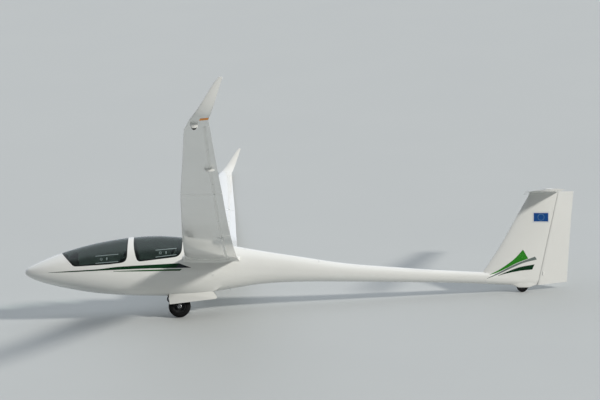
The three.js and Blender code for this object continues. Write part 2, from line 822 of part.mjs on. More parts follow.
function addCanopy() {
  const rearEdge = CANOPY_BACK - CLEAR;
  const cut = drawnIn(CANOPY_CUT, REST);
  const region = prism(cut, 500).intersect(box([0, rearEdge], [-500, 500], [0, ABOVE]));
  const frame = outer
    .subtract(hull(200, 2700, CANOPY_SHELL))
    .intersect(region)
    .subtract(prism(FRONT_PANE, 500))
    .subtract(prism(REAR_PANE, 500));
  place("canopy_frame", frame, "white");
  const skin = outer.subtract(hull(200, 2700, PANE_THICKNESS));
  for (const [name, outline] of [["front", FRONT_PANE], ["rear", REAR_PANE]]) {
    place(`canopy_glass_${name}`, skin.intersect(prism(drawnIn(outline, TOUCH), 500)), "glass");
  }
  const { y, z } = CANOPY_HINGE;
  noteAxis("canopy", vector(rearEdge, y, z), vector(800, y, z));
}

// Cockpit

function addSeat(name, line) {
  const room = cabinForm(TOUCH);
  const below = box([0, 3000], [-500, 500], [0, SIDE_LEDGE]);
  const shape = strip(line, -SHELL, 0);
  const tray = prism(shape, 500).intersect(below).add(prism(shape, SEAT_HALF_WIDTH)).intersect(room);
  place(`seat_tray_${name}`, tray, "tray");

  const [backFoot, backTop] = line.slice(-2);
  const [knee, hip] = [line[1][0], line[3][0]];
  const slant = (part) => backFoot[0] + part * (backTop[0] - backFoot[0]);
  const pads = [
    ["seat_cushion", knee + 70, hip - 10, 45, 200],
    ["back_cushion", slant(0.14), slant(0.74), 50, 200],
    ["headrest", slant(0.82), slant(0.98), 55, 90],
  ];
  for (const [pad, from, to, thickness, half] of pads) {
    const outline = strip(stretch(line, from, to), TOUCH, thickness);
    place(`${pad}_${name}`, prism(outline, half), "cloth");
  }

  const station = STICK_STATIONS[name];
  const foot = stretch(line, station, station + 1)[0][1];
  const points = STICK.map(([radius, height]) => new THREE.Vector2(radius, height));
  const form = new THREE.LatheGeometry(points, 16).rotateX(Math.PI / 2).translate(station, 0, foot);
  place(`control_stick_${name}`, solidOf(form).subtract(prism(under(line, TOUCH), 100)), "dark");
}

function addPanels() {
  const room = cabinForm(TOUCH);
  place("instrument_pod_front", prism(POD, POD_HALF).intersect(room), "dark");
  const beam = box(REAR_BEAM.stations, [-500, 500], REAR_BEAM.heights);
  const { stations, half, heights } = REAR_PANEL;
  const panel = box(stations, [-half, half], heights);
  place("instrument_panel_rear", beam.intersect(room).add(panel), "dark");
}

// Landing gear

function addMainGear() {
  const { x, z, outer: radius, crown, rim, axle, arm } = MAIN_WHEEL;
  const hub = [
    [axle + 0.7, -60], [32, -60], [32, -14], [76, -14], [80, -50], [rim, -50],
    [rim, 50], [80, 50], [76, 14], [32, 14], [32, 60], [axle + 0.7, 60], [axle + 0.7, -60],
  ];
  place("main_tyre", ringSolid(radius, crown, rim + TOUCH, 28, 8), "rubber", [x, 0, z]);
  place("main_rim", turned(hub, 28), "metal", [x, 0, z]);
  place("main_axle", crossTube(axle, 98, x, z), "metal");
  const hole = crossTube(axle + TOUCH + 0.1, 120, x, z);
  const leg = [
    [x - 22, z - 24], [x + 22, z - 24], [FORK_TOP.x + 16, FORK_TOP.z], [FORK_TOP.x - 16, FORK_TOP.z],
  ];
  const fork = crossTube(FORK_TOP.radius, WHEEL_WELL.half - TOUCH, FORK_TOP.x, FORK_TOP.z)
    .add(prism(leg, 6, arm))
    .add(prism(leg, 6, -arm))
    .subtract(hole);
  place("main_fork", fork, "dark");
  const doorMiddle = WHEEL_WELL.half - TOUCH - GEAR_DOOR_THICKNESS / 2;
  for (const [side, name] of [[-1, "left"], [1, "right"]]) {
    place(`gear_door_${name}`, prism(GEAR_DOOR, GEAR_DOOR_THICKNESS / 2, side * doorMiddle), "white");
  }
  noteAxis("main_wheel", vector(x, 0, z), vector(x, 1, z));
}

function addTailWheel() {
  const { x, z, outer: radius, crown, rim, axle, slot } = TAIL_WHEEL;
  const hub = [
    [axle + 0.7, -22], [rim, -22], [rim, 22], [axle + 0.7, 22], [axle + 0.7, -22],
  ];
  place("tail_tyre", ringSolid(radius, crown, rim + TOUCH, 20, 6), "rubber", [x, 0, z]);
  place("tail_hub", turned(hub, 20), "metal", [x, 0, z]);
  place("tail_axle", crossTube(axle, slot - TOUCH, x, z), "metal");
  noteAxis("tail_wheel", vector(x, 0, z), vector(x, 1, z));
}

addFuselage();
addCanopy();
addSeat("front", FRONT_SEAT);
addSeat("rear", REAR_SEAT);
addPanels();
addEngineBay();
addRudder();
addTailplane();
addMainGear();
addTailWheel();
for (const [side, name] of [[-1, "left"], [1, "right"]]) {
  addWing(side, name);
  addWinglet(side, name);
  addAirbrakes(side, name);
  addTipWheel(side, name);
}

// Parking

// The lowest point of a wheel whose axle lies along y, when "up" is the given direction.
function footOf(wheel, up) {
  const inPlane = vector(-up.x, 0, -up.z).normalize();
  return vector(wheel.x, wheel.y, wheel.z)
    .addScaledVector(inPlane, wheel.outer - wheel.crown)
    .addScaledVector(up, -wheel.crown);
}

// The upward normal of the plane that carries all three wheels.
function groundNormal() {
  const tip = { ...TIP_WHEEL, y: TIP_WHEEL.span, z: wingHeight(TIP_WHEEL.span) - TIP_WHEEL.drop };
  let up = vector(0, 0, 1);
  for (let round = 0; round < 6; round++) {
    const [main, tail, wing] = [MAIN_WHEEL, TAIL_WHEEL, tip].map((wheel) => footOf(wheel, up));
    up = tail.sub(main).cross(wing.sub(main)).normalize();
  }
  return up;
}

const up = groundNormal();
const right = up.clone().cross(X).normalize();
const aft = right.clone().cross(up);
const attitude = new THREE.Matrix4().makeBasis(aft, right, up).transpose();
aircraft.quaternion.setFromRotationMatrix(attitude);
aircraft.updateMatrixWorld(true);
const bounds = new THREE.Box3().setFromObject(aircraft, true);
const middle = bounds.getCenter(vector(0, 0, 0));
aircraft.position.set(-middle.x, -middle.y, -bounds.min.z);
aircraft.userData.axes = axes;

const sailplane = new THREE.Group();
sailplane.add(aircraft);
export default sailplane;
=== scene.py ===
"""Looks of a two-seat powered sailplane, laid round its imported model.

Forms are made in the aircraft's own frame, in metres: x aft from the nose tip, y to the right wing,
z up from the bottom of the main wheel with the wings level. Each finished piece is then set down in
the row's frame, in which the aircraft leans on its right wing tip.
"""

import json
import math

import bpy
from bpy.props import FloatProperty, FloatVectorProperty, IntProperty, PointerProperty
from mathutils import Matrix, Vector
from mathutils.bvhtree import BVHTree

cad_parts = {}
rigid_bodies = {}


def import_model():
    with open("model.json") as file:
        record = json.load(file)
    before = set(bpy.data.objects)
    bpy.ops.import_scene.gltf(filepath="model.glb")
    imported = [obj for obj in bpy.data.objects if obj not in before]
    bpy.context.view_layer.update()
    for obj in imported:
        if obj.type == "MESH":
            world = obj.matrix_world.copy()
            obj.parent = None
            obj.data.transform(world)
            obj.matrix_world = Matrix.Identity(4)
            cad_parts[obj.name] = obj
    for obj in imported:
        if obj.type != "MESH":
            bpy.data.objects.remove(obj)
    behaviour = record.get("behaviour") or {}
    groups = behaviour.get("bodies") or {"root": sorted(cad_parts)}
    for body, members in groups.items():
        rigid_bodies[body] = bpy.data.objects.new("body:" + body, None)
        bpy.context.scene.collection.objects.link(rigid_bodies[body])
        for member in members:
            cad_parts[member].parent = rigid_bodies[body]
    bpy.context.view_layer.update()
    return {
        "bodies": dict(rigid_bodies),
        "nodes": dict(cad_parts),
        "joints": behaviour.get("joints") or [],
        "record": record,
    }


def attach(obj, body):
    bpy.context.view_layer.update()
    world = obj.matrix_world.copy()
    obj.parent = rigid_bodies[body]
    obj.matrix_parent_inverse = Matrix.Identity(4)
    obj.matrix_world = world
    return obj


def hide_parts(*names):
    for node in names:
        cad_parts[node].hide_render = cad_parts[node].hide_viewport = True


bl_info = {
    "name": "Two-seat sailplane",
    "version": (1, 0, 0),
    "blender": (4, 5, 0),
    "location": "3D View > Sidebar > Sailplane",
    "description": "Dresses the packed sailplane with its skins, glass, cockpit, wheels and stage",
    "category": "Object",
}

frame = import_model()
BODY_OF = {
    node: body
    for body, nodes in frame["record"]["behaviour"]["bodies"].items()
    for node in nodes
}
JOINTS = {joint["name"]: joint for joint in frame["joints"]}
SIDES = (("left", -1), ("right", 1))


def metres(*rows):
    return [tuple(value / 1000 for value in row) for row in rows]


# Fuselage sections: station, top, bottom, height of the widest point, half width.
FUSELAGE = metres(
    (0, 724, 716, 720, 4),
    (12, 757, 685, 720, 34),
    (53, 795, 651, 721, 72),
    (148, 843, 603, 722, 122),
    (340, 931, 540, 728, 190),
    (675, 1058, 463, 745, 262),
    (1186, 1194, 385, 775, 328),
    (1697, 1277, 351, 800, 353),
    (2207, 1299, 345, 820, 349),
    (2463, 1281, 348, 830, 333),
    (2760, 1240, 372, 835, 296),
    (3053, 1187, 420, 832, 254),
    (3421, 1122, 484, 822, 207),
    (3740, 1066, 532, 806, 176),
    (4378, 969, 568, 772, 142),
    (5081, 866, 570, 725, 119),
    (5895, 801, 563, 682, 103),
    (7028, 733, 544, 640, 84),
    (7740, 706, 518, 612, 70),
    (8200, 690, 512, 600, 36),
)
FUSELAGE_LENGTH = 8.2
SHELL = 0.012
# What pieces that touch keep between them.
GAP = 0.0003
CABIN = (0.3, 2.49)
ABOVE = 1.4
CANOPY_BACK = 2.545
CANOPY_CUT = metres((222, 1400), (811, 755), (2545, 880), (2545, 1400))
PANES = {
    "front": metres(
        (230, 1400), (752, 849), (768, 832), (786, 819), (812, 812), (850, 812), (1346, 844),
        (1540, 868), (1582, 880), (1610, 897), (1628, 925), (1639, 970), (1654, 1400),
    ),
    "rear": metres(
        (1733, 1400), (1737, 1160), (1751, 1061), (1772, 977), (1788, 932), (1803, 908),
        (1832, 889), (2400, 960), (2440, 975), (2468, 998), (2490, 1030), (2503, 1072),
        (2508, 1120), (2516, 1400),
    ),
}
EDGE_BAND = 0.02
# Rails of the sliding windows: from, to, lower and upper height at both ends.
VENTS = {"front": (1.14, 1.5, 0.862, 0.974, 0.891, 1.006), "rear": (2.09, 2.42, 0.96, 1.07, 1.0, 1.1)}
CANOPY_SHELL = 0.014
WELL = {"front": 2.286, "back": 2.99, "half": 0.125, "top": 0.63, "wall": 0.025}
ENGINE_BAY = {"front": 3.5, "back": 4.68, "half": 0.09, "floor": 0.64, "edge": 0.02}

# Wing plan: span position, leading edge, trailing edge.
WING_PLAN = metres(
    (0, 2545, 3395), (3500, 2617, 3323), (6500, 2698, 3257), (9350, 2837, 3161), (9700, 2913, 3146)
)
WING_START = 0.06
WING_JOINT = 6.5
WING_END = 9.7
WING_HINGE = 0.83
# Winglet: y, z, leading edge, trailing edge.
WINGLET = metres(
    (9700, 2622, 2913, 3146),
    (9800, 2678, 2962, 3172),
    (9876, 2770, 3036, 3208),
    (9935, 2900, 3120, 3252),
    (9975, 3030, 3205, 3293),
    (10000, 3124, 3279, 3326),
)
# Wing section: part of the chord, upper and lower height over the chord.
WING_PROFILE = (
    (0, 0.001, -0.001), (0.006, 0.013, -0.008), (0.025, 0.029, -0.017), (0.08, 0.053, -0.028),
    (0.18, 0.077, -0.037), (0.32, 0.091, -0.042), (0.46, 0.091, -0.042), (0.62, 0.075, -0.036),
    (WING_HINGE, 0.036, -0.013), (0.92, 0.019, -0.004), (1, 0.0025, -0.0015),
)
# Tail section: part of the chord, half height over the greatest thickness.
TAIL_PROFILE = (
    (0, 0.01), (0.01, 0.16), (0.04, 0.27), (0.12, 0.4), (0.25, 0.485), (0.4, 0.5), (0.55, 0.44),
    (0.82, 0.19), (1, 0.02),
)
# Flaps and ailerons of one wing: name, inner end, outer end.
WING_SURFACES = (("flap_inner", 0.46, 3.48), ("flap_outer", 3.5, 6.48), ("aileron", 6.52, 9.46))
SURFACE_END_GAP = 0.008
WING_COVE_GAP = 0.012
TAIL_COVE_GAP = 0.007

# Fin and rudder: height, leading edge, hinge, trailing edge, thickness over chord, chord slope.
FIN = (
    (0.516, 7.190, 8.188, 8.643, 0.082, 0.11),
    (0.741, 7.320, 8.238, 8.655, 0.085, 0.08),
    (1.150, 7.558, 8.328, 8.682, 0.09, 0.05),
    (1.570, 7.803, 8.420, 8.712, 0.1, 0.03),
    (2.010, 8.060, 8.517, 8.752, 0.11, 0.02),
)
FIN_RANGE = (0.67, 1.997)
# How far the fin's leading edge is drawn out over the tail cone: height, distance.
FIN_FOOT = (
    (0.66, 0.15), (0.69, 0.115), (0.73, 0.085), (0.8, 0.057), (0.87, 0.044), (1.0, 0.024),
    (1.15, 0.005), (1.3, 0),
)
# The part of the chord that is drawn out with it.
DRAWN_PART = 0.2
RUDDER_RANGE = (0.516, 2.01)
# Tailplane: span position, leading edge, trailing edge.
TAILPLANE = metres(
    (0, 7974, 8482), (60, 7978, 8495), (1540, 8106, 8434), (1585, 8128, 8428), (1600, 8190, 8420)
)
TAILPLANE_HEIGHT = 2.0
TAILPLANE_THICKNESS = 0.1
ELEVATOR_HINGE = 8.365
ELEVATOR_RANGE = (0.068, 1.54)

AIRBRAKE = {
    "span": 3.75, "length": 1.3, "chord_part": 0.46, "depth": 0.076, "slot": 0.023, "cap": 0.017
}
MAIN_WHEEL = {"x": 2.461, "z": 0.177, "radius": 0.176, "arm": 0.074}
TAIL_WHEEL = {"x": 7.931, "z": 0.495, "radius": 0.09, "slot": 0.032}
TIP_WHEEL = {"x": 2.97, "span": 9.62, "drop": 0.062, "radius": 0.032}
TIP_FAIRING = {"radii": (0.052, 0.023, 0.11), "half": 0.08, "bottom": 0.074, "slot": 0.014}
GEAR_DOOR = metres(
    (2290, 460), (2290, 383), (2305, 209), (3030, 296), (3043, 301), (3051, 314), (3049, 334),
    (3043, 348), (3034, 366), (3012, 396), (2994, 411), (2974, 421), (2940, 432), (2940, 462),
)
FORK_TOP = {"x": 2.56, "z": 0.5, "radius": 0.018}

# Seats in the side view, from the knees over the seat to the top of the back.
SEATS = {
    "front": metres((840, 600), (960, 640), (1200, 500), (1320, 470), (1400, 560), (1650, 1060)),
    "rear": metres((1745, 600), (1840, 645), (1960, 560), (2080, 530), (2180, 600), (2400, 1080)),
}
STICK_STATIONS = {"front": 0.985, "rear": 1.866}
SEAT_HALF_WIDTH = 0.23
SIDE_LEDGE = 0.72
POD = metres((640, 905), (700, 935), (822, 948), (846, 915), (815, 640), (770, 400), (690, 400))
POD_HALF = 0.165
REAR_PANEL = {"stations": (1.695, 1.735), "half": 0.185, "heights": (0.79, 1.01)}
REAR_BEAM = {"stations": (1.695, 1.725), "heights": (0.745, 0.8)}
# Dials of a panel: across, up and radius, from the middle of its face.
POD_DIALS = (
    (-0.1, 0.085, 0.04), (0, 0.085, 0.04), (0.1, 0.085, 0.04), (-0.1, -0.01, 0.04), (0.1, -0.01, 0.04),
    (0, -0.003, 0.029),
)
REAR_DIALS = ((-0.125, 0.03, 0.04), (-0.03, 0.03, 0.04), (0.062, 0.03, 0.04), (0.144, 0.04, 0.029))
# Boxes on a panel: name, finish, across, up, height of the face.
POD_BOXES = (
    ("front_radio", "black", (0.052, 0.142), (-0.112, -0.072), 0.012),
    ("front_radio_screen", "screen", (0.06, 0.11), (-0.104, -0.08), 0.0135),
    ("front_engine_unit", "black", (-0.142, -0.03), (-0.122, -0.062), 0.012),
    ("front_engine_screen", "screen", (-0.134, -0.06), (-0.114, -0.07), 0.0135),
)
REAR_BOXES = (
    ("rear_display", "black", (-0.06, 0.06), (-0.09, -0.03), 0.012),
    ("rear_display_screen", "screen", (-0.05, 0.034), (-0.082, -0.038), 0.0135),
)
# Knobs of the pod's face: across, up.
POD_KNOBS = ((0.122, -0.084), (0.122, -0.1), (-0.044, -0.078), (-0.044, -0.106), (0, -0.06), (0, -0.09))
# Levers of the left console: name, finish, distance of the foot, place of the knob, its radii.
LEVERS = (
    ("airbrake_lever", "blue", 0.05, (0, 0.01, 0.075), (0.03, 0.012, 0.012)),
    ("flap_lever", "black", 0.17, (0.14, 0.008, 0.06), (0.022, 0.011, 0.011)),
    ("trim_lever", "green", 0.27, (0.26, 0, 0.035), (0.011, 0.011, 0.011)),
    ("release_knob", "yellow", 0.33, (0.33, 0, 0.03), (0.014, 0.014, 0.014)),
)
# Ribs inside a gear door, in the side view.
DOOR_RIBS = (
    ((2.32, 0.235), (2.32, 0.44)),
    ((2.62, 0.27), (2.62, 0.44)),
    ((2.9, 0.31), (2.9, 0.42)),
    ((2.31, 0.225), (3.02, 0.31)),
)
# The engine's cylinders: their stations, the radii of barrel and fins, the step of the fins.
CYLINDERS = {"stations": (3.69, 3.85), "barrel": 0.034, "fin": 0.05, "step": 0.012}
# The side view in the photograph: pixels a metre, the nose's column and the ground's row.
PHOTO = {"scale": 62.65, "nose": 25.7, "ground": 317.3}

# Material slots with their finishes. The first is that of the nodes that stay as they are.
SLOTS = {
    "gelcoat": (
        "gelcoat", "stripe", "accent", "charcoal", "line", "grey_film", "blue_film", "ring_film",
        "pale_film", "tape", "orange",
    ),
    "canopy_glass": ("glass",),
    "seat_tray": ("tray",),
    "seat_cloth": ("cloth", "webbing", "piping"),
    "gear_paint": ("grey", "rail"),
    "cockpit_dark": (
        "black", "grey", "glass_edge", "leather", "screen", "white_mark", "red", "yellow", "blue",
        "green",
    ),
    "engine_metal": ("cast",),
    "tyre_rubber": ("rubber",),
    "airbrake_metal": ("metal",),
    "wheel_metal": ("metal", "rim"),
}


def aircraft_matrix():
    """Turns the aircraft's frame into the row's, from the axes that the record gives."""
    aft = -Vector(JOINTS["canopy_hinge"]["axis"])
    right = Vector(JOINTS["elevator_hinge"]["axis"])
    turn = Matrix((aft, right, aft.cross(right))).transposed()
    axle = Vector((MAIN_WHEEL["x"], 0, MAIN_WHEEL["z"]))
    wheel = Vector(JOINTS["main_wheel_spin"]["pos_m"])
    return Matrix.Translation(wheel - turn @ axle) @ turn.to_4x4()


AIRCRAFT = aircraft_matrix()


class PaintSettings(bpy.types.PropertyGroup):
    """Colours that a user may want to change."""

    gelcoat: FloatVectorProperty(
        name="Gelcoat", description="White of the skins",
        subtype="COLOR", default=(0.8, 0.802, 0.768), min=0, max=1,
    )
    stripe: FloatVectorProperty(
        name="Dark stripe", description="Dark green of the long stripe under the canopy",
        subtype="COLOR", default=(0.005, 0.036, 0.012), min=0, max=1,
    )
    accent: FloatVectorProperty(
        name="Bright stripe", description="Bright green of the fin's flash",
        subtype="COLOR", default=(0.03, 0.24, 0.018), min=0, max=1,
    )
    # The default tint is darker than the real, nearly clear acrylic: painted shade that stands in for the
    # dim cockpit behind the canopy.
    glass: FloatVectorProperty(
        name="Canopy tint", description="Tint of the acrylic",
        subtype="COLOR", default=(0.21, 0.255, 0.235), min=0, max=1,
    )
    cloth: FloatVectorProperty(
        name="Seat cloth", description="Colour of the cushions",
        subtype="COLOR", default=(0.095, 0.108, 0.135), min=0, max=1,
    )
    floor: FloatVectorProperty(
        name="Floor", description="Pale colour of the floor",
        subtype="COLOR", default=(0.5, 0.515, 0.505), min=0, max=1,
    )


class BuildSettings(bpy.types.PropertyGroup):
    """Sizes that a user may want to change."""

    ring_points: IntProperty(
        name="Points around", description="Points around the fuselage",
        default=64, min=16, max=128,
    )
    skin_step: FloatProperty(
        name="Wing step", description="Distance between the wing's sections",
        default=0.25, min=0.05, max=1, unit="LENGTH",
    )
    seal_width: FloatProperty(
        name="Seal width", description="Width of the sealing tape along the hinges",
        default=0.03, min=0.01, max=0.06, unit="LENGTH",
    )
    sun_strength: FloatProperty(
        name="Main light", description="Strength of the main light",
        default=2.75, min=0, max=20,
    )
    sky_strength: FloatProperty(
        name="Surrounding light", description="Strength of the light from all round",
        default=0.95, min=0, max=5,
    )


def paints():
    return bpy.context.scene.sailplane_paint


def sizes():
    return bpy.context.scene.sailplane_build


# Curves and sections


class Curve:
    """A smooth curve through values at places, with a slope at each."""

    def __init__(self, places, values, slopes):
        self.places, self.values, self.slopes = places, values, slopes

    def __call__(self, place):
        i = 0
        while i < len(self.places) - 2 and self.places[i + 1] <= place:
            i += 1
        width = self.places[i + 1] - self.places[i]
        t = (place - self.places[i]) / width
        start = self.values[i] * (1 + 2 * t) + self.slopes[i] * width * t
        end = self.values[i + 1] * (3 - 2 * t) - self.slopes[i + 1] * width * (1 - t)
        return start * (1 - t) ** 2 + end * t * t


class SmoothColumn(Curve):
    """A column of a table as a smooth curve over the square root of its first column."""

    def __init__(self, rows, column):
        places = [math.sqrt(row[0]) for row in rows]
        values = [row[column] for row in rows]
        secants = [
            (values[i + 1] - values[i]) / (places[i + 1] - places[i]) for i in range(len(rows) - 1)
        ]
        slopes = [secants[0]]
        for i in range(1, len(secants)):
            before, after = places[i] - places[i - 1], places[i + 1] - places[i]
            slopes.append((secants[i - 1] * after + secants[i] * before) / (before + after))
        super().__init__(places, values, [*slopes, secants[-1]])

    def __call__(self, station):
        return super().__call__(math.sqrt(max(station, 0)))


class SmoothSpan(Curve):
    """A column of a table as a smooth curve over its rows' numbers."""

    def __init__(self, rows, column):
        values = [row[column] for row in rows]
        last = len(values) - 1
        slopes = [
            (values[min(i + 1, last)] - values[max(i - 1, 0)]) / (2 if 0 < i < last else 1)
            for i in range(last + 1)
        ]
        super().__init__(range(last + 1), values, slopes)

    def slope(self, place):
        ahead, back = min(place + 0.02, len(self.values) - 1), max(place - 0.02, 0)
        return (self(ahead) - self(back)) / 0.04


def smooth_rows(rows, count=24):
    """A smooth line through the rows of a table, in a number of steps."""
    columns = [SmoothSpan(rows, column) for column in range(len(rows[0]))]
    places = [i / count * (len(rows) - 1) for i in range(count + 1)]
    return [tuple(column(place) for column in columns) for place in places]


def chord_parts(count):
    """Parts of a chord in a number of steps, closer together at both ends."""
    return [0.5 - 0.5 * math.cos(math.pi * i / count) for i in range(count + 1)]


def eased(part):
    """From 0 to 1 with a soft start and end."""
    return part * part * (3 - 2 * part)


FUSELAGE_TOP, FUSELAGE_BOTTOM, FUSELAGE_WAIST, FUSELAGE_HALF = (
    SmoothColumn(FUSELAGE, column) for column in range(1, 5)
)
WING_UPPER, WING_LOWER = (SmoothColumn(WING_PROFILE, column) for column in (1, 2))
TAIL_HALF = SmoothColumn(TAIL_PROFILE, 1)
FIN_DRAWN = SmoothColumn(FIN_FOOT, 1)
WING_PARTS = sorted({round(part, 4) for part in chord_parts(22)} | {WING_HINGE})
TAIL_PARTS = chord_parts(20)


def along_table(rows, column, at):
    """A column of a table, in straight lines between its rows."""
    i = 1
    while i < len(rows) - 1 and rows[i][0] < at:
        i += 1
    low, high = rows[i - 1], rows[i]
    part = (at - low[0]) / (high[0] - low[0])
    return low[column] + part * (high[column] - low[column])


def spread(start, end, step):
    """Places from one to another, in even steps no longer than a step."""
    count = max(1, math.ceil(abs(end - start) / step - 1e-9))
    return [start + (end - start) * i / count for i in range(count + 1)]


def fuselage_ring(station, inset, count):
    """The fuselage's outline at a station, drawn in by an inset."""
    top, bottom = FUSELAGE_TOP(station), FUSELAGE_BOTTOM(station)
    waist, half = FUSELAGE_WAIST(station), FUSELAGE_HALF(station)
    ring = []
    for i in range(count):
        angle = math.tau * i / count
        rise = top - inset - waist if math.cos(angle) > 0 else waist - bottom - inset
        across = (half - inset) * math.sin(angle)
        ring.append(Vector((station, across, waist + rise * math.cos(angle))))
    return ring


def skin_reach(station, height, inset=0.0):
    """Distance from the middle to the fuselage's skin at a station and height."""
    waist = FUSELAGE_WAIST(station)
    edge = FUSELAGE_TOP(station) if height > waist else FUSELAGE_BOTTOM(station)
    part = (height - waist) / (abs(edge - waist) - inset)
    return (FUSELAGE_HALF(station) - inset) * math.sqrt(max(0, 1 - part * part))


class Section:
    """A wing or tail section: its nose, its directions along the chord and up, and its chord."""

    def __init__(self, nose, along, up, chord, heights, hinge=1.0):
        self.nose, self.along, self.up = nose, along, up
        self.chord, self.heights, self.hinge = chord, heights, hinge

    def point(self, along, height):
        return self.nose + self.along * along + self.up * height

    def skin(self, part, face, lift=0.0):
        """A point on the upper (0) or lower (1) face, lifted off it."""
        height = self.heights(part)[face] * self.chord
        return self.point(part * self.chord, height + (lift if face == 0 else -lift))

    def ring(self, parts, growth=0.0):
        """The closed outline, thicker and longer by a growth all round."""
        upper = [(part, self.heights(part)[0] * self.chord + growth) for part in parts]
        lower = [(part, self.heights(part)[1] * self.chord - growth) for part in parts]
        return [
            self.point(part * self.chord + growth * (2 * part - 1), height)
            for part, height in upper[::-1] + lower
        ]

    def pivot(self):
        """The hinge: its place along the chord, its height and the radius of the nose there."""
        upper, lower = (height * self.chord for height in self.heights(self.hinge))
        return self.hinge * self.chord, (upper + lower) / 2, (upper - lower) / 2

    def around(self, angle, radius):
        along, height, _ = self.pivot()
        turn = math.radians(angle)
        return self.point(along + radius * math.cos(turn), height + radius * math.sin(turn))

    def surface_ring(self):
        """A control surface: a round nose about its hinge, and the profile behind it."""
        radius = self.pivot()[2]
        behind = [self.hinge + (1 - self.hinge) * share for share in (0.08, 0.25, 0.45, 0.7, 1)]
        nose = [self.around(90 + 180 * i / 12, radius) for i in range(13)]
        upper = [self.skin(part, 0) for part in reversed(behind)]
        return upper + nose + [self.skin(part, 1) for part in behind]

    def cove_ring(self, gap):
        """What is cut from the fixed section for a control surface."""
        along, height, radius = self.pivot()
        reach = (1 - self.hinge) * self.chord + 0.06
        arc = [self.around(90 + 180 * i / 12, radius + gap) for i in range(13)]
        return [
            *arc,
            self.point(along + reach, height - radius - gap),
            self.point(along + reach, height + radius + gap),
        ]


def wing_height(span):
    return 0.92 + 0.06 * span + 0.0119 * span * span


def wing_tilt(span):
    return math.atan(0.06 + 0.0238 * span)


def wing_heights(part):
    return WING_UPPER(part), WING_LOWER(part)


def wing_section(span, side):
    front = along_table(WING_PLAN, 1, span)
    tilt = wing_tilt(span)
    return Section(
        Vector((front, side * span, wing_height(span))),
        Vector((1, 0, 0)),
        Vector((0, -side * math.sin(tilt), math.cos(tilt))),
        along_table(WING_PLAN, 2, span) - front,
        wing_heights,
        WING_HINGE,
    )


def tail_heights(thickness):
    def heights(part):
        half = TAIL_HALF(part) * thickness
        return half, -half

    return heights


def fin_section(height):
    front, hinge, back, thickness, slope = (along_table(FIN, c, height) for c in range(1, 6))
    return Section(
        Vector((front, 0, height + slope * (front - hinge))),
        Vector((1, 0, slope)),
        Vector((0, 1, 0)),
        back - front,
        tail_heights(thickness),
        (hinge - front) / (back - front),
    )


def tailplane_section(span, side):
    front = along_table(TAILPLANE, 1, span)
    chord = along_table(TAILPLANE, 2, span) - front
    return Section(
        Vector((front, side * span, TAILPLANE_HEIGHT)),
        Vector((1, 0, 0)),
        Vector((0, 0, 1)),
        chord,
        tail_heights(TAILPLANE_THICKNESS),
        (ELEVATOR_HINGE - front) / chord,
    )


# Modelling steps


def deselect():
    bpy.ops.object.select_all(action="DESELECT")


def activate(form):
    if bpy.context.mode != "OBJECT":
        bpy.ops.object.mode_set(mode="OBJECT")
    deselect()
    form.select_set(True)
    bpy.context.view_layer.objects.active = form


def open_edit(form, kind="FACE", wanted=None):
    """Opens edit mode with all of a form selected, or the vertices, edges or faces that are wanted."""
    activate(form)
    bpy.ops.object.mode_set(mode="EDIT")
    bpy.ops.mesh.select_mode(type=kind)
    bpy.ops.mesh.select_all(action="DESELECT" if wanted else "SELECT")
    if wanted:
        bpy.ops.object.mode_set(mode="OBJECT")
        mesh = form.data
        for item in {"VERT": mesh.vertices, "EDGE": mesh.edges, "FACE": mesh.polygons}[kind]:
            item.select = wanted(item)
        bpy.ops.object.mode_set(mode="EDIT")


def close_edit():
    bpy.ops.object.mode_set(mode="OBJECT")


def named(name):
    form = bpy.context.object
    form.name = name
    form.data.name = name
    return form


def settle(form):
    """Puts a form's place, turn and scale into its mesh."""
    activate(form)
    bpy.ops.object.transform_apply(location=True, rotation=True, scale=True)
    return form


def face_out(form):
    open_edit(form)
    bpy.ops.mesh.normals_make_consistent(inside=False)
    close_edit()
    return form


def loft(name, rings):
    """A closed form through rings of equally many points: a cylinder, cut into as many rings."""
    size, count = len(rings[0]), len(rings)
    deselect()
    bpy.ops.mesh.primitive_cylinder_add(vertices=size, radius=1, depth=1, end_fill_type="NGON")
    form = named(name)
    if count > 2:
        points = form.data.vertices

        def upright(edge):
            low, high = (points[i].co.z for i in edge.vertices)
            return abs(high - low) > 0.5

        open_edit(form, "EDGE", upright)
        bpy.ops.mesh.subdivide(number_cuts=count - 2)
        close_edit()
    for vertex in form.data.vertices:
        x, y, z = vertex.co
        ring = rings[round((z + 0.5) * (count - 1))]
        vertex.co = ring[round(math.atan2(x, y) / math.tau * size) % size]
    return face_out(form)


def sheet_grid(name, rows):
    """An open sheet through rows of equally many points."""
    deselect()
    across, down = len(rows[0]), len(rows)
    bpy.ops.mesh.primitive_grid_add(x_subdivisions=across - 1, y_subdivisions=down - 1, size=2)
    form = named(name)
    for vertex in form.data.vertices:
        i = round((vertex.co.x + 1) / 2 * (across - 1))
        j = round((vertex.co.y + 1) / 2 * (down - 1))
        vertex.co = rows[j][i]
    return form


def thicken(form, thickness, offset=1.0):
    modifier = form.modifiers.new("thickness", "SOLIDIFY")
    modifier.thickness = thickness
    modifier.offset = offset
    return apply_modifier(form, modifier)


def apply_modifier(form, modifier):
    activate(form)
    bpy.ops.object.modifier_apply(modifier=modifier.name)
    return form


def round_edges(form, width, segments=2, angle=35):
    modifier = form.modifiers.new("edges", "BEVEL")
    modifier.width = width
    modifier.segments = segments
    modifier.limit_method = "ANGLE"
    modifier.angle_limit = math.radians(angle)
    return apply_modifier(form, modifier)


def slab(name, outline, y0, y1):
    """An outline of the side view, as thick as from one y to another."""
    return loft(name, [[Vector((x, y, z)) for x, z in outline] for y in (y0, y1)])


def block(name, xs, ys, zs):
    low, high = Vector((xs[0], ys[0], zs[0])), Vector((xs[1], ys[1], zs[1]))
    deselect()
    bpy.ops.mesh.primitive_cube_add(size=1, location=(low + high) / 2, scale=high - low)
    return settle(named(name))


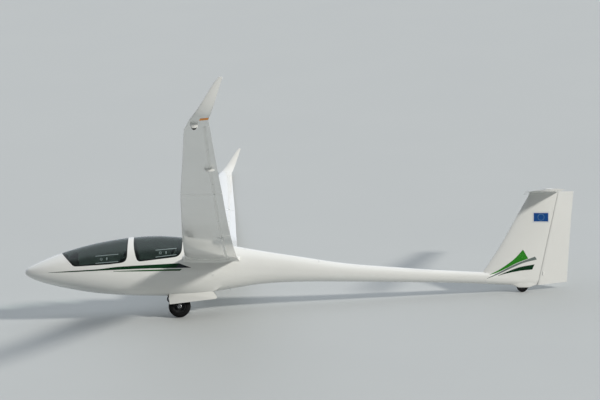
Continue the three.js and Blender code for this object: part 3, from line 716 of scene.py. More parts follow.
def rod(name, start, end, radius, sides=20):
    """A round bar from one point to another."""
    start, end = Vector(start), Vector(end)
    deselect()
    bpy.ops.mesh.primitive_cylinder_add(
        vertices=sides,
        radius=radius,
        depth=(end - start).length,
        location=(start + end) / 2,
        rotation=(end - start).to_track_quat("Z", "Y").to_euler(),
    )
    return settle(named(name))


def ball(name, centre, radii, segments=32):
    deselect()
    bpy.ops.mesh.primitive_uv_sphere_add(
        segments=segments, ring_count=segments // 2, radius=1, location=centre, scale=radii
    )
    return settle(named(name))


def carve(form, cutter, operation="DIFFERENCE"):
    """Cuts a form with another, or keeps what both hold, or joins them. The cutter is used up."""
    modifier = form.modifiers.new("carve", "BOOLEAN")
    modifier.object = cutter
    modifier.operation = operation
    modifier.solver = "EXACT"
    apply_modifier(form, modifier)
    bpy.data.objects.remove(cutter)
    return form


def join(name, forms):
    activate(forms[0])
    for form in forms:
        form.select_set(True)
    bpy.ops.object.join()
    return named(name)


def set_in(form, matrix):
    """Moves a form that was made about the origin to its place in the aircraft."""
    form.matrix_world = matrix
    return settle(form)


def axle_frame(x, y, z):
    """A frame with z along the axle to the right wing."""
    return Matrix.Translation((x, y, z)) @ Matrix.Rotation(-math.pi / 2, 4, "X")


def axes_frame(place, aft, across, up):
    """A frame at a place, from its three axes."""
    return Matrix.Translation(place) @ Matrix((aft, across, up)).transposed().to_4x4()


def section_frame(section, place):
    """A frame at a place of a section, with z out of the section and y along the span."""
    return axes_frame(place, section.along, section.up.cross(section.along), section.up)


def turned(name, profile, matrix, steps=48):
    """A form turned about the z axis of a frame, from a closed profile of radius and height."""
    deselect()
    bpy.ops.mesh.primitive_circle_add(vertices=len(profile), radius=1)
    form = named(name)
    for vertex, (radius, height) in zip(form.data.vertices, profile):
        vertex.co = (radius, 0, height)
    open_edit(form, "VERT")
    bpy.ops.mesh.spin(steps=steps, angle=math.tau, center=(0, 0, 0), axis=(0, 0, 1))
    bpy.ops.mesh.select_all(action="SELECT")
    bpy.ops.mesh.remove_doubles(threshold=1e-6)
    close_edit()
    return set_in(face_out(form), matrix)


def both_ways(half):
    """A closed profile from its half above the middle."""
    return [*half, *((radius, -height) for radius, height in reversed(half))]


def tube(name, points, radius, sides=12):
    """A round bar along a line of points."""
    points = [Vector(point) for point in points]
    side = (points[1] - points[0]).orthogonal()
    rings = []
    for i, point in enumerate(points):
        ahead = (points[min(i + 1, len(points) - 1)] - points[max(i - 1, 0)]).normalized()
        side = (side - ahead * side.dot(ahead)).normalized()
        up = ahead.cross(side)
        turns = [math.tau * k / sides for k in range(sides)]
        rings.append([point + (side * math.cos(a) + up * math.sin(a)) * radius for a in turns])
    return loft(name, rings)


def strap(name, points, across):
    """Flat webbing along a line of points, with a map in metres for its weave."""
    width, thickness = 0.045, 0.002
    half = Vector(across).normalized() * width / 2
    rows = [[point + half * part for part in (-1, -0.5, 0, 0.5, 1)] for point in points]
    form = sheet_grid(name, rows)
    length = sum((b - a).length for a, b in zip(points, points[1:]))
    for corner in form.data.uv_layers.active.data:
        corner.uv = (corner.uv[0] * width, corner.uv[1] * length)
    return thicken(form, thickness, 0)


def surface_of(form):
    """A form's surface, to lay others on."""
    mesh = form.data
    return BVHTree.FromPolygons([v.co for v in mesh.vertices], [p.vertices for p in mesh.polygons])


def laid_on(surface, point, out, above, reach=0.06):
    """Where a line that comes straight in at a point meets a surface, a little above it."""
    place = surface.ray_cast(point + out * reach, -out, 2 * reach)[0]
    return (place or point) + out * above


def besides(line, distance):
    """A line of the side view moved sideways by a distance, to its left as it runs."""
    normals = []
    for (x0, z0), (x1, z1) in zip(line, line[1:]):
        length = math.hypot(x1 - x0, z1 - z0)
        normals.append((-(z1 - z0) / length, (x1 - x0) / length))
    moved = []
    for i, (x, z) in enumerate(line):
        ax, az = normals[max(i - 1, 0)]
        bx, bz = normals[min(i, len(normals) - 1)]
        reach = distance / (1 + ax * bx + az * bz)
        moved.append((x + (ax + bx) * reach, z + (az + bz) * reach))
    return moved


def rounded(outline):
    """An outline with its corners cut back twice, so that they read as round."""
    reach = 0.02
    for _ in range(2):
        cut = []
        for i, here in enumerate(outline):
            for other in (outline[i - 1], outline[(i + 1) % len(outline)]):
                part = min(0.25, reach / math.dist(here, other))
                cut.append(tuple(a + (b - a) * part for a, b in zip(here, other)))
        outline = cut
    return outline


def drawn_in(outline, distance):
    """A closed outline that runs anticlockwise, drawn in by a distance."""
    return besides([outline[-1], *outline, outline[0]], distance)[1:-1]


def strip(line, low, high):
    """The outline between two lines beside a line that runs aft."""
    return [*besides(line, low), *reversed(besides(line, high))]


def height_at(line, x):
    return along_table(line, 1, x)


def stretch(line, start, end):
    """The stretch of a line between two stations."""
    inside = [point for point in line if start < point[0] < end]
    return [(start, height_at(line, start)), *inside, (end, height_at(line, end))]


def walk(line, count):
    """Points at even distances along a line, each with its direction."""
    line = [Vector(point) for point in line]
    lengths = [(b - a).length for a, b in zip(line, line[1:])]
    total = sum(lengths)
    found = []
    for i in range(count):
        left = total * i / (count - 1)
        k = 0
        while k < len(lengths) - 1 and left > lengths[k]:
            left -= lengths[k]
            k += 1
        ahead = (line[k + 1] - line[k]).normalized()
        found.append((line[k] + ahead * left, ahead))
    return found


def side_frame(x, z, side, lift=0.0):
    """A frame on the fuselage's skin: z out of it and x aft along it."""
    step = 0.004
    along = (skin_reach(x + step, z) - skin_reach(x - step, z)) / (2 * step)
    rise = (skin_reach(x, z + step) - skin_reach(x, z - step)) / (2 * step)
    out = Vector((-along, side, -rise)).normalized()
    aft = Vector((1, side * along, 0)).normalized()
    place = Vector((x, side * skin_reach(x, z), z)) + out * lift
    return axes_frame(place, aft, out.cross(aft), out)


def face_frame(low, high):
    """A frame on a face that stands across the cabin, from its edges in the side view: z points aft."""
    up = Vector((high[0] - low[0], 0, high[1] - low[1])).normalized()
    across = Vector((0, 1, 0))
    middle = ((low[0] + high[0]) / 2, 0, (low[1] + high[1]) / 2)
    return axes_frame(middle, across, up, across.cross(up))


def lined(form, finish, inside):
    """Gives a finish to the faces of a piece whose middles are inside a room of the aircraft."""
    form.data.materials.append(FINISH[finish])
    index = len(form.data.materials) - 1
    back = AIRCRAFT.inverted()
    for face in form.data.polygons:
        if inside(back @ face.center):
            face.material_index = index


def deep(place, depth=0.009):
    return abs(place.y) < skin_reach(place.x, place.z, depth)


def put(form, finish, node=None, body="airframe", angle=30):
    """Sets a finished form down in the row's frame, in its finish and on its body.

    Where it stands for a node, it rides on that node's body.
    """
    form.matrix_world = AIRCRAFT
    settle(form)
    bpy.ops.object.shade_smooth_by_angle(angle=math.radians(angle))
    form.data.materials.clear()
    form.data.materials.append(FINISH[finish])
    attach(form, BODY_OF[node] if node else body)
    if node:
        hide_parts(node)
    return form


# Finishes


def new_shader(name, color, rough, metallic=0.0, **sockets):
    material = bpy.data.materials.new(name)
    material.use_nodes = True
    shader = material.node_tree.nodes["Principled BSDF"]
    shader.inputs["Base Color"].default_value = (*color, 1)
    shader.inputs["Roughness"].default_value = rough
    shader.inputs["Metallic"].default_value = metallic
    for socket, value in sockets.items():
        shader.inputs[socket.replace("_", " ").title().replace("Ior", "IOR")].default_value = value
    return material, shader


def add_node(material, kind, **values):
    node = material.node_tree.nodes.new(kind)
    for name, value in values.items():
        node.inputs[name.replace("_", " ")].default_value = value
    return node


def connect(material, source, target):
    material.node_tree.links.new(source, target)


def object_noise(material, scale, detail=5.0):
    place = add_node(material, "ShaderNodeTexCoord")
    noise = add_node(material, "ShaderNodeTexNoise", Scale=scale, Detail=detail)
    connect(material, place.outputs["Object"], noise.inputs["Vector"])
    return noise.outputs["Fac"]


def ranged(material, value, low, high):
    """A pattern's value, spread from one number to another."""
    node = add_node(material, "ShaderNodeMapRange")
    for socket, limit in {"From Min": 0.3, "From Max": 0.7, "To Min": low, "To Max": high}.items():
        node.inputs[socket].default_value = limit
    connect(material, value, node.inputs["Value"])
    return node.outputs["Result"]


def blended(material, value, first, second):
    """A pattern's value, as a mix of two colours."""
    ramp = material.node_tree.nodes.new("ShaderNodeValToRGB")
    ramp.color_ramp.elements[0].position = 0.3
    ramp.color_ramp.elements[0].color = (*first, 1)
    ramp.color_ramp.elements[1].position = 0.7
    ramp.color_ramp.elements[1].color = (*second, 1)
    connect(material, value, ramp.inputs["Fac"])
    return ramp.outputs["Color"]


def bumped(material, shader, value, distance):
    bump = add_node(material, "ShaderNodeBump", Strength=1.0, Distance=distance)
    connect(material, value, bump.inputs["Height"])
    connect(material, bump.outputs["Normal"], shader.inputs["Normal"])


def shade(color, factor):
    return tuple(min(1.0, channel * factor) for channel in color)


def grained(name, color, rough, scale=6.0, grain=60.0, depth=0.0002, change=0.88, **sockets):
    """A finish whose colour and gloss wander a little, over a fine grain."""
    material, shader = new_shader(name, color, rough[0], **sockets)
    wander = object_noise(material, scale)
    connect(material, blended(material, wander, shade(color, change), color), shader.inputs["Base Color"])
    connect(material, ranged(material, wander, *rough), shader.inputs["Roughness"])
    bumped(material, shader, object_noise(material, grain, 3.0), depth)
    return material


def glass_finish():
    # The tint is darker than the real clear acrylic: painted shade for the dim cockpit seen through the
    # panes.
    material, shader = new_shader(
        "canopy_acrylic_with_painted_shade", tuple(paints().glass), 0.015, transmission_weight=1.0, ior=1.55
    )
    haze = object_noise(material, 3.0)
    connect(material, ranged(material, haze, 0.0, 0.008), shader.inputs["Roughness"])
    clear = add_node(material, "ShaderNodeBsdfTransparent")
    clear.inputs["Color"].default_value = (0.9, 0.93, 0.92, 1)
    light = add_node(material, "ShaderNodeLightPath")
    both = add_node(material, "ShaderNodeMixShader")
    connect(material, light.outputs["Is Shadow Ray"], both.inputs["Fac"])
    connect(material, shader.outputs["BSDF"], both.inputs[1])
    connect(material, clear.outputs["BSDF"], both.inputs[2])
    connect(material, both.outputs["Shader"], material.node_tree.nodes["Material Output"].inputs["Surface"])
    return material


def webbing_finish():
    """Woven belt: ribs across its length, from its own map in metres."""
    material, shader = new_shader("harness_webbing", (0.4, 0.54, 0.6), 0.8)
    place = add_node(material, "ShaderNodeTexCoord")
    ribs = add_node(material, "ShaderNodeTexWave", Scale=180.0, Distortion=0.3, Detail=1.0)
    ribs.bands_direction = "Y"
    connect(material, place.outputs["UV"], ribs.inputs["Vector"])
    ribs = ribs.outputs["Fac"]
    tint = blended(material, ribs, (0.3, 0.43, 0.49), (0.52, 0.68, 0.74))
    connect(material, tint, shader.inputs["Base Color"])
    bumped(material, shader, ribs, 0.0006)
    return material


def make_finishes():
    """Every finish: name, colour, roughness, scale of its wander, scale and depth of its grain."""
    film, plastic = ((0.2, 0.3), 4.0, 40.0, 0.0001), ((0.3, 0.45), 9.0, 80.0, 0.0001)
    fresh_film = ((0.18, 0.3), 4.0, 40.0, 0.0001)
    gelcoat, stripe, accent, cloth = (
        tuple(colour) for colour in (paints().gelcoat, paints().stripe, paints().accent, paints().cloth)
    )
    return {
        "gelcoat": grained(
            "white_gelcoat", gelcoat, (0.12, 0.24), 0.7, 1.6, 0.0009, 0.95,
            coat_weight=0.6, coat_roughness=0.04,
        ),
        "shell_inside": grained("painted_inside", (0.5, 0.52, 0.52), (0.4, 0.55), 8.0, 90.0, 0.0003),
        "stripe": grained("dark_green_film", stripe, *fresh_film, specular_ior_level=0.3),
        "accent": grained("bright_green_film", accent, *fresh_film),
        "charcoal": grained("charcoal_film", (0.025, 0.03, 0.034), (0.2, 0.32), *film[1:]),
        "line": grained("green_line_film", (0.007, 0.075, 0.007), *film),
        "grey_film": grained("grey_film", (0.16, 0.195, 0.185), *film),
        "blue_film": grained("blue_film", (0.01, 0.07, 0.26), *film),
        "ring_film": grained("pale_blue_film", (0.13, 0.25, 0.36), *film),
        "pale_film": grained("pale_film", (0.7, 0.72, 0.74), *film),
        "tape": grained("sealing_tape", (0.78, 0.78, 0.74), (0.25, 0.4), 5.0, 30.0, 0.0002, 0.93),
        "glass": glass_finish(),
        "glass_edge": grained("canopy_edge_band", (0.012, 0.013, 0.014), (0.3, 0.45), 9.0, 60.0),
        "black": grained("matt_black_covering", (0.018, 0.018, 0.02), (0.6, 0.8), 12.0, 220.0, 0.0004),
        "grey": grained("dark_grey_paint", (0.07, 0.075, 0.08), (0.35, 0.5), 12.0, 120.0, 0.0002),
        # The cabin's inner walls: a grey darker than their real light grey paint, with painted shade of the
        # closed cockpit in it.
        "cabin_wall_paint_and_shade": grained("cabin_wall_grey_and_painted_shade", (0.17, 0.18, 0.175), (0.6, 0.8), 10.0, 260.0, 0.0005),
        "rail": grained("pale_plastic", (0.3, 0.36, 0.36), (0.25, 0.4), *plastic[1:]),
        "white_mark": grained("white_marking", (0.8, 0.8, 0.78), (0.4, 0.5), *plastic[1:]),
        "red": grained("red_plastic", (0.45, 0.02, 0.015), *plastic),
        "yellow": grained("yellow_plastic", (0.7, 0.42, 0.02), *plastic),
        "blue": grained("blue_plastic", (0.02, 0.1, 0.4), *plastic),
        "green": grained("green_plastic", (0.02, 0.25, 0.06), *plastic),
        "orange": grained("orange_tape", (0.9, 0.3, 0.01), (0.3, 0.4), *plastic[1:]),
        "screen": grained(
            "dark_screen", (0.01, 0.014, 0.018), (0.05, 0.1), 9.0, 80.0, 0.0, coat_weight=0.5
        ),
        "webbing": webbing_finish(),
        "piping": grained("cushion_piping", (0.02, 0.022, 0.026), (0.5, 0.7), 24.0, 320.0, 0.0002),
        "rim": grained("dark_rim_paint", (0.018, 0.019, 0.02), (0.3, 0.5), 14.0, 120.0, 0.0002),
        "leather": grained("stick_boot_leather", (0.03, 0.028, 0.027), (0.5, 0.7), 24.0, 320.0, 0.0008),
        "tray": grained("light_grey_laminate", (0.42, 0.44, 0.44), (0.35, 0.5), 6.0, 160.0, 0.0003),
        "cloth": grained("seat_cloth", cloth, (0.8, 0.95), 20.0, 400.0, 0.0008, 0.7),
        "rubber": grained(
            "black_rubber", (0.008, 0.008, 0.0085), (0.65, 0.85), 14.0, 180.0, 0.0004, 0.75,
            specular_ior_level=0.15,
        ),
        "metal": grained(
            "machined_alloy", (0.68, 0.69, 0.71), (0.22, 0.38), 16.0, 140.0, 0.0001, metallic=1.0
        ),
        "cast": grained("cast_alloy", (0.42, 0.43, 0.44), (0.4, 0.6), 16.0, 160.0, 0.0006, metallic=1.0),
    }


# Filled as the steps run: the finishes, and the surfaces that films lie on.
FINISH = {}
SURFACE = {}


# Fuselage, fin and canopy


def hull(name, start, end, inset):
    """The fuselage's form between two stations, drawn in by an inset."""
    low, high = math.sqrt(start), math.sqrt(end)
    rings = math.ceil(90 * (high - low) / math.sqrt(FUSELAGE_LENGTH))
    stations = [(low + (high - low) * i / rings) ** 2 for i in range(rings + 1)]
    points = sizes().ring_points
    return loft(name, [fuselage_ring(station, inset, points) for station in stations])


def cove_cut(section_at, start, end, gap, step):
    rings = [section_at(place).cove_ring(gap) for place in spread(start, end, step)]
    return loft("cove_cut", rings)


def well_box(back, gap=0.0):
    """The wheel well with its wall, up to a station, larger all round by a gap."""
    wall = WELL["wall"] + gap
    half = WELL["half"] + wall
    return block("well_box", (WELL["front"] - wall, back), (-half, half), (0.2, WELL["top"] + wall))


def cabin_form():
    front, back = CABIN
    return carve(hull("cabin", front, back, SHELL), well_box(back + 0.05))


def cabin_room():
    """What the pieces in the cabin have to stay inside."""
    return hull("room", CABIN[0] + GAP, CABIN[1] - GAP, SHELL + GAP)


def engine_room():
    bay = ENGINE_BAY
    front, back = bay["front"] - bay["edge"], bay["back"] + bay["edge"]
    form = hull("engine_room", front, back, SHELL)
    over_floor = block("over_floor", (front - 0.1, back + 0.1), (-0.4, 0.4), (bay["floor"], ABOVE))
    carve(form, over_floor, "INTERSECT")
    half = bay["half"]
    mouth = block("mouth", (bay["front"], bay["back"]), (-half, half), (bay["floor"] + 0.1, ABOVE))
    return carve(form, mouth, "UNION")


def fin_drawn(height):
    return max(0, FIN_DRAWN(min(height, 1.3)))


def fin_reach(x, z):
    """Distance from the middle to the fin's or rudder's skin."""
    section = fin_section(min(max(z, 0.52), 2.0))
    part = (x - section.nose.x) / section.chord
    if part < DRAWN_PART:
        drawn = fin_drawn(z)
        part = (x - section.nose.x + drawn) / (section.chord + drawn / DRAWN_PART)
    return section.heights(min(max(part, 0.0), 1.0))[0] * section.chord


def fin_form():
    rings = []
    for height in (*spread(FIN_RANGE[0], 1.3, 0.03), *spread(1.4, FIN_RANGE[1], 0.1)):
        ring = fin_section(height).ring(TAIL_PARTS)
        drawn = fin_drawn(height)
        for point, part in zip(ring, TAIL_PARTS[::-1] + TAIL_PARTS):
            point.x -= drawn * max(0, 1 - part / DRAWN_PART)
        rings.append(ring)
    return loft("fin", rings)


def tail_blend():
    """Carries the fin's sides down into the tail cone without a crease."""
    rings = []
    start, middle, end = 7.34, 0.61, 0.8
    for station in spread(start, FUSELAGE_LENGTH, 0.03):
        crown = FUSELAGE_TOP(station) + 0.004
        top = crown + (end - crown) * eased(min(1, (station - start) / 0.5))
        low = FUSELAGE_BOTTOM(station)
        widest = max(FUSELAGE_HALF(station) - 0.001, fin_reach(station, 0.69))
        upper = fin_reach(station, top) - 0.0004
        side = []
        for i in range(10):
            angle = math.pi / 2 * i / 9
            height = middle - (middle - low - 0.0005) * math.cos(angle)
            side.append((widest * math.sin(angle), height))
        for i in range(1, 9):
            part = i / 8
            side.append((widest + (upper - widest) * eased(part), middle + (top - middle) * part))
        ring = [Vector((station, y, z)) for y, z in side]
        rings.append(ring + [Vector((station, -y, z)) for y, z in reversed(side[1:])])
    return loft("tail_blend", rings)


def tail_fairing():
    """The bulge over the tail wheel: near upright walls that end in a flat edge."""
    # Station, height of the edge, half width.
    outline = metres(
        (7700, 530, 30), (7760, 517, 36), (7810, 497, 40), (7856, 473, 43), (7900, 470.5, 44.5),
        (7960, 470.5, 44.5), (8020, 471.5, 43), (8060, 482, 40), (8100, 500, 36), (8150, 514, 32),
        (8190, 522, 30),
    )
    middle, squareness = 0.575, 0.4
    rings = []
    for station, low, half in smooth_rows(outline, 40):
        ring = []
        for k in range(32):
            c, s = math.cos(math.tau * k / 32), math.sin(math.tau * k / 32)
            y = half * math.copysign(abs(s) ** squareness, s)
            z = middle - (middle - low) * math.copysign(abs(c) ** squareness, c)
            ring.append(Vector((station, y, z)))
        rings.append(ring)
    return loft("tail_fairing", rings)


def rudder_cut():
    cutter = cove_cut(fin_section, *RUDDER_RANGE, TAIL_COVE_GAP, 0.2)
    lowest = fin_section(RUDDER_RANGE[0])
    hinge = lowest.nose.x + lowest.pivot()[0]
    foot = block("foot", (hinge - 0.045, hinge + 0.6), (-0.09, 0.09), (0.366, 0.521))
    return carve(cutter, foot, "UNION")


def make_fuselage():
    skin = hull("fuselage_skin", 0, FUSELAGE_LENGTH, 0)
    carve(skin, fin_form(), "UNION")
    carve(skin, tail_blend(), "UNION")
    carve(skin, tail_fairing(), "UNION")
    carve(skin, cabin_form())
    carve(skin, slab("canopy_cut", CANOPY_CUT, -0.5, 0.5))
    half = WELL["half"]
    carve(skin, block("well", (WELL["front"], WELL["back"]), (-half, half), (0.1, WELL["top"])))
    carve(skin, engine_room())
    x, z, slot = TAIL_WHEEL["x"], TAIL_WHEEL["z"], TAIL_WHEEL["slot"]
    carve(skin, rod("slot", (x, -slot, z), (x, slot, z), TAIL_WHEEL["radius"] + 0.008, 40))
    carve(skin, rudder_cut())
    SURFACE["skin"] = surface_of(skin)
    put(skin, "gelcoat", node="fuselage")
    # The cabin's inner faces get a grey that is darkened by painted shade.
    lined(skin, "cabin_wall_paint_and_shade", in_cabin)
    lined(skin, "shell_inside", in_bay)
    lined(skin, "black", in_wheel_rooms)


def in_cabin(place):
    return CABIN[0] - 0.01 < place.x < CABIN[1] + 0.01 and deep(place)


def in_bay(place):
    return ENGINE_BAY["front"] - 0.03 < place.x < ENGINE_BAY["back"] + 0.03 and deep(place)


def in_wheel_rooms(place):
    well = WELL["front"] - 0.001 < place.x < WELL["back"] + 0.001
    in_well = well and abs(place.y) < WELL["half"] + 0.001 and place.z < WELL["top"] + 0.001
    slot = math.hypot(place.x - TAIL_WHEEL["x"], place.z - TAIL_WHEEL["z"]) < 0.1
    return in_well or (slot and abs(place.y) < TAIL_WHEEL["slot"] + 0.001)


def root_fairing(side, name):
    """The fillet between the wing root and the fuselage's side."""
    rings = []
    reach, growth = 0.09, 0.05
    for i in range(8):
        part = i / 7
        away = -0.012 + (reach + 0.012) * part
        thicker = growth * (1 - math.sin(part * math.pi / 2)) ** 1.6 + 0.0006
        ring = []
        for index in range(2 * len(WING_PARTS)):
            span = 0.3
            for _ in range(6):
                point = wing_section(span, side).ring(WING_PARTS, thicker)[index]
                span = max(skin_reach(point.x, point.z), 0.02) + away
            point.y = side * span
            ring.append(point)
        rings.append(ring)
    put(loft(f"wing_root_fairing_{name}", rings), "gelcoat")


def canopy_shell(name, inner, outer=0.0):
    """The canopy's stretch of the fuselage's skin, between two insets."""
    form = hull(name, 0.15, 2.6, outer)
    return carve(form, hull("inside", 0.1, 2.75, inner))


def make_canopy():
    rest, clear = 0.0005, 0.005
    moulding = canopy_shell("canopy_moulding", CANOPY_SHELL)
    region = slab("region", drawn_in(CANOPY_CUT, rest), -0.5, 0.5)
    carve(region, block("rear_gap", (CANOPY_BACK - clear, CANOPY_BACK + 0.1), (-0.6, 0.6), (0.5, 1.5)))
    carve(moulding, region, "INTERSECT")
    panes = {name: rounded(outline) for name, outline in PANES.items()}
    for outline in panes.values():
        carve(moulding, slab("pane_cut", outline, -0.5, 0.5))
    put(moulding, "gelcoat", node="canopy_frame")
    lined(moulding, "black", lambda place: deep(place, 0.0095))
    for name, outline in panes.items():
        pane = canopy_shell(f"canopy_pane_{name}", 0.004)
        carve(pane, slab("pane", drawn_in(outline, GAP), -0.5, 0.5), "INTERSECT")
        put(pane, "glass", node=f"canopy_glass_{name}")
        band = canopy_shell(f"canopy_edge_band_{name}", 0.0058, 0.0046)
        carve(band, slab("pane", drawn_in(outline, 0.0004), -0.5, 0.5), "INTERSECT")
        carve(band, slab("inner", drawn_in(outline, EDGE_BAND), -0.5, 0.5))
        put(band, "glass_edge", body="canopy")
        make_vent(name, *VENTS[name])


def make_vent(name, start, end, low_start, high_start, low_end, high_end):
    """The sliding window in the left side of a pane: its rails, its catch and its air scoop."""
    half, depth = 0.004, 0.0045
    for rail, at_start, at_end in (("lower", low_start, low_end), ("upper", high_start, high_end)):
        edges = [[(start, at_start + move), (end, at_end + move)] for move in (-half, half)]
        film(
            f"vent_{rail}_rail_{name}", *edges, skin_reach, "rail", 20, 1, depth / 2 - 0.0002,
            depth, SIDES[:1], "canopy",
        )
    middle, height = (start + end) / 2, (low_start + high_start + low_end + high_end) / 4
    ring = [(0.02, 0), (0.02, 0.003), (0.017, 0.006), (0.0145, 0.004), (0.013, 0.001), (0.013, 0)]
    scoop_frame = side_frame(middle - 0.09, height - 0.006, -1, -0.0005)
    put(turned(f"vent_scoop_{name}", ring, scoop_frame, 32), "rail", body="canopy")
    catch = block(f"vent_catch_{name}", (-0.006, 0.006), (-0.022, 0.022), (0, 0.006))
    round_edges(catch, 0.002)
    put(set_in(catch, side_frame(middle, height, -1)), "rail", body="canopy")


# Wings


def wing_form(name, start, end, side, growth=0.0):
    kinks = {row[0] for row in WING_PLAN if start < row[0] < end}
    spans = sorted({*spread(start, end, sizes().skin_step), *kinks})
    return loft(name, [wing_section(span, side).ring(WING_PARTS, growth) for span in spans])


def surface_cut(side, start, end):
    return cove_cut(lambda span: wing_section(span, side), start, end, WING_COVE_GAP, 0.25)


def airbrake_frame(side):
    section = wing_section(AIRBRAKE["span"], side)
    return section_frame(section, section.skin(AIRBRAKE["chord_part"], 0))


def framed_block(name, matrix, xs, ys, zs):
    return set_in(block(name, xs, ys, zs), matrix)


def make_wing(side, name):
    """The inner and outer skin with their coves, the airbrake's slot, and the control surfaces."""
    half_gap = GAP / 2
    _, flaps_start, _ = WING_SURFACES[0]
    _, _, ailerons_end = WING_SURFACES[-1]
    inner = wing_form(f"wing_inner_skin_{name}", WING_START, WING_JOINT - half_gap, side)
    carve(inner, hull("body", 0.5, 5, -GAP))
    carve(inner, surface_cut(side, flaps_start - SURFACE_END_GAP, WING_JOINT + 0.005))
    slot, half, depth = AIRBRAKE["slot"], AIRBRAKE["length"] / 2 + 0.006, AIRBRAKE["depth"]
    frame = airbrake_frame(side)
    carve(inner, framed_block("slot", frame, (-slot, slot), (-half, half), (-depth, 0.04)))
    put(inner, "gelcoat", node=f"wing_inner_{name}")
    outer = wing_form(f"wing_outer_skin_{name}", WING_JOINT + half_gap, WING_END, side)
    carve(outer, surface_cut(side, WING_JOINT - 0.005, ailerons_end + SURFACE_END_GAP))
    put(outer, "gelcoat", node=f"wing_outer_{name}")
    for surface, start, end in WING_SURFACES:
        rings = [wing_section(span, side).surface_ring() for span in spread(start, end, 0.25)]
        put(loft(f"{surface}_skin_{name}", rings), "gelcoat", node=f"{surface}_{name}", angle=40)
    make_winglet(side, name)


def winglet_section(t, side):
    """The winglet's section at a place of its table, from 0 at its root."""
    columns = [SmoothSpan(WINGLET, column) for column in range(4)]
    y, z, front, back = (column(t) for column in columns)
    tilt = math.atan2(columns[1].slope(t), columns[0].slope(t))
    up = Vector((0, -side * math.sin(tilt), math.cos(tilt)))
    return Section(Vector((front, side * y, z)), Vector((1, 0, 0)), up, back - front, wing_heights)


def make_winglet(side, name):
    places = [i / 24 * (len(WINGLET) - 1) for i in range(25)]
    rings = [winglet_section(place, side).ring(WING_PARTS) for place in places]
    put(loft(f"winglet_skin_{name}", rings), "gelcoat", node=f"winglet_{name}")


def seal_rows(section_at, places, face, raised):
    """Rows of points of the tape over a hinge gap, from the skin ahead of it to the hinge line."""
    rows = []
    width = sizes().seal_width
    for place in places:
        section = section_at(place)
        along, height, radius = section.pivot()
        top = radius + 0.0006 + raised
        row = []
        for i in range(5):
            back = width * (1 - i / 4)
            part = section.hinge - back / section.chord
            point = section.skin(part, face, 0.0005 + raised * min(1, i / 2))
            if i == 4:
                point = section.point(along, height + (top if face == 0 else -top))
            row.append(point)
        rows.append(row)
    return rows


def make_seals():
    for name, side in SIDES:
        for face, level in ((0, "upper"), (1, "lower")):
            for surface, start, end in WING_SURFACES:
                # The aileron's straight hinge runs below the curved wing, so its tape stands higher.
                raised = 0.0012 if surface == "aileron" else 0
                places = spread(start, end, 0.25)
                rows = seal_rows(lambda span, s=side: wing_section(span, s), places, face, raised)
                form = thicken(sheet_grid(f"{surface}_seal_{level}_{name}", rows), 0.0006, 0)
                put(form, "tape")


# Tail


def make_tail():
    rings = [fin_section(height).surface_ring() for height in spread(*RUDDER_RANGE, 0.15)]
    put(loft("rudder_skin", rings), "gelcoat", node="rudder", angle=40)
    spans = [-row[0] for row in reversed(TAILPLANE)] + [row[0] for row in TAILPLANE[1:]]
    rings = [tailplane_section(abs(span), math.copysign(1, span)).ring(TAIL_PARTS) for span in spans]
    plane = loft("tailplane_skin", rings)
    start, end = ELEVATOR_RANGE
    for name, side in SIDES:

        def section_at(span, side=side):
            return tailplane_section(span, side)

        ends = (start - SURFACE_END_GAP, end + SURFACE_END_GAP)
        carve(plane, cove_cut(section_at, *ends, TAIL_COVE_GAP, 1.5))
        rings = [section_at(span).surface_ring() for span in spread(start, end, 0.5)]
        form = loft(f"elevator_skin_{name}", rings)
        put(form, "gelcoat", node=f"elevator_{name}", angle=40)
    put(plane, "gelcoat", node="tailplane")


# Films on the skin


def film(
    name, low, high, reach, finish, columns=40, rows=4, above=0.0006, thickness=0.0004, sides=SIDES,
    body="airframe",
):
    """A film on the sides of the aircraft, between two lines of the side view."""

    def along(line, part):
        place = part * (len(line) - 1)
        i = min(int(place), len(line) - 2)
        t = place - i
        return [a + (b - a) * t for a, b in zip(line[i], line[i + 1])]

    for side_name, side in sides:
        grid = []
        for j in range(rows + 1):
            row = []
            for i in range(columns + 1):
                (x0, z0), (x1, z1) = along(low, i / columns), along(high, i / columns)
                x, z = x0 + (x1 - x0) * j / rows, z0 + (z1 - z0) * j / rows
                row.append(Vector((x, side * (reach(x, z) + above), z)))
            grid.append(row)
        form = thicken(sheet_grid(f"{name}_{side_name}", grid), thickness, 0)
        put(face_out(form), finish, body=body)


def photo_line(*points):
    """Points of the side view from their places in the photograph."""
    scale, nose, ground = PHOTO["scale"], PHOTO["nose"], PHOTO["ground"]
    return [((x - nose) / scale, (ground - z) / scale) for x, z in points]


def tail_reach(x, z):
    """Distance from the middle to the finished skin of the tail cone and fin."""
    return SURFACE["skin"].ray_cast(Vector((x, 0.6, z)), Vector((0, -1, 0)))[0].y + 0.0004


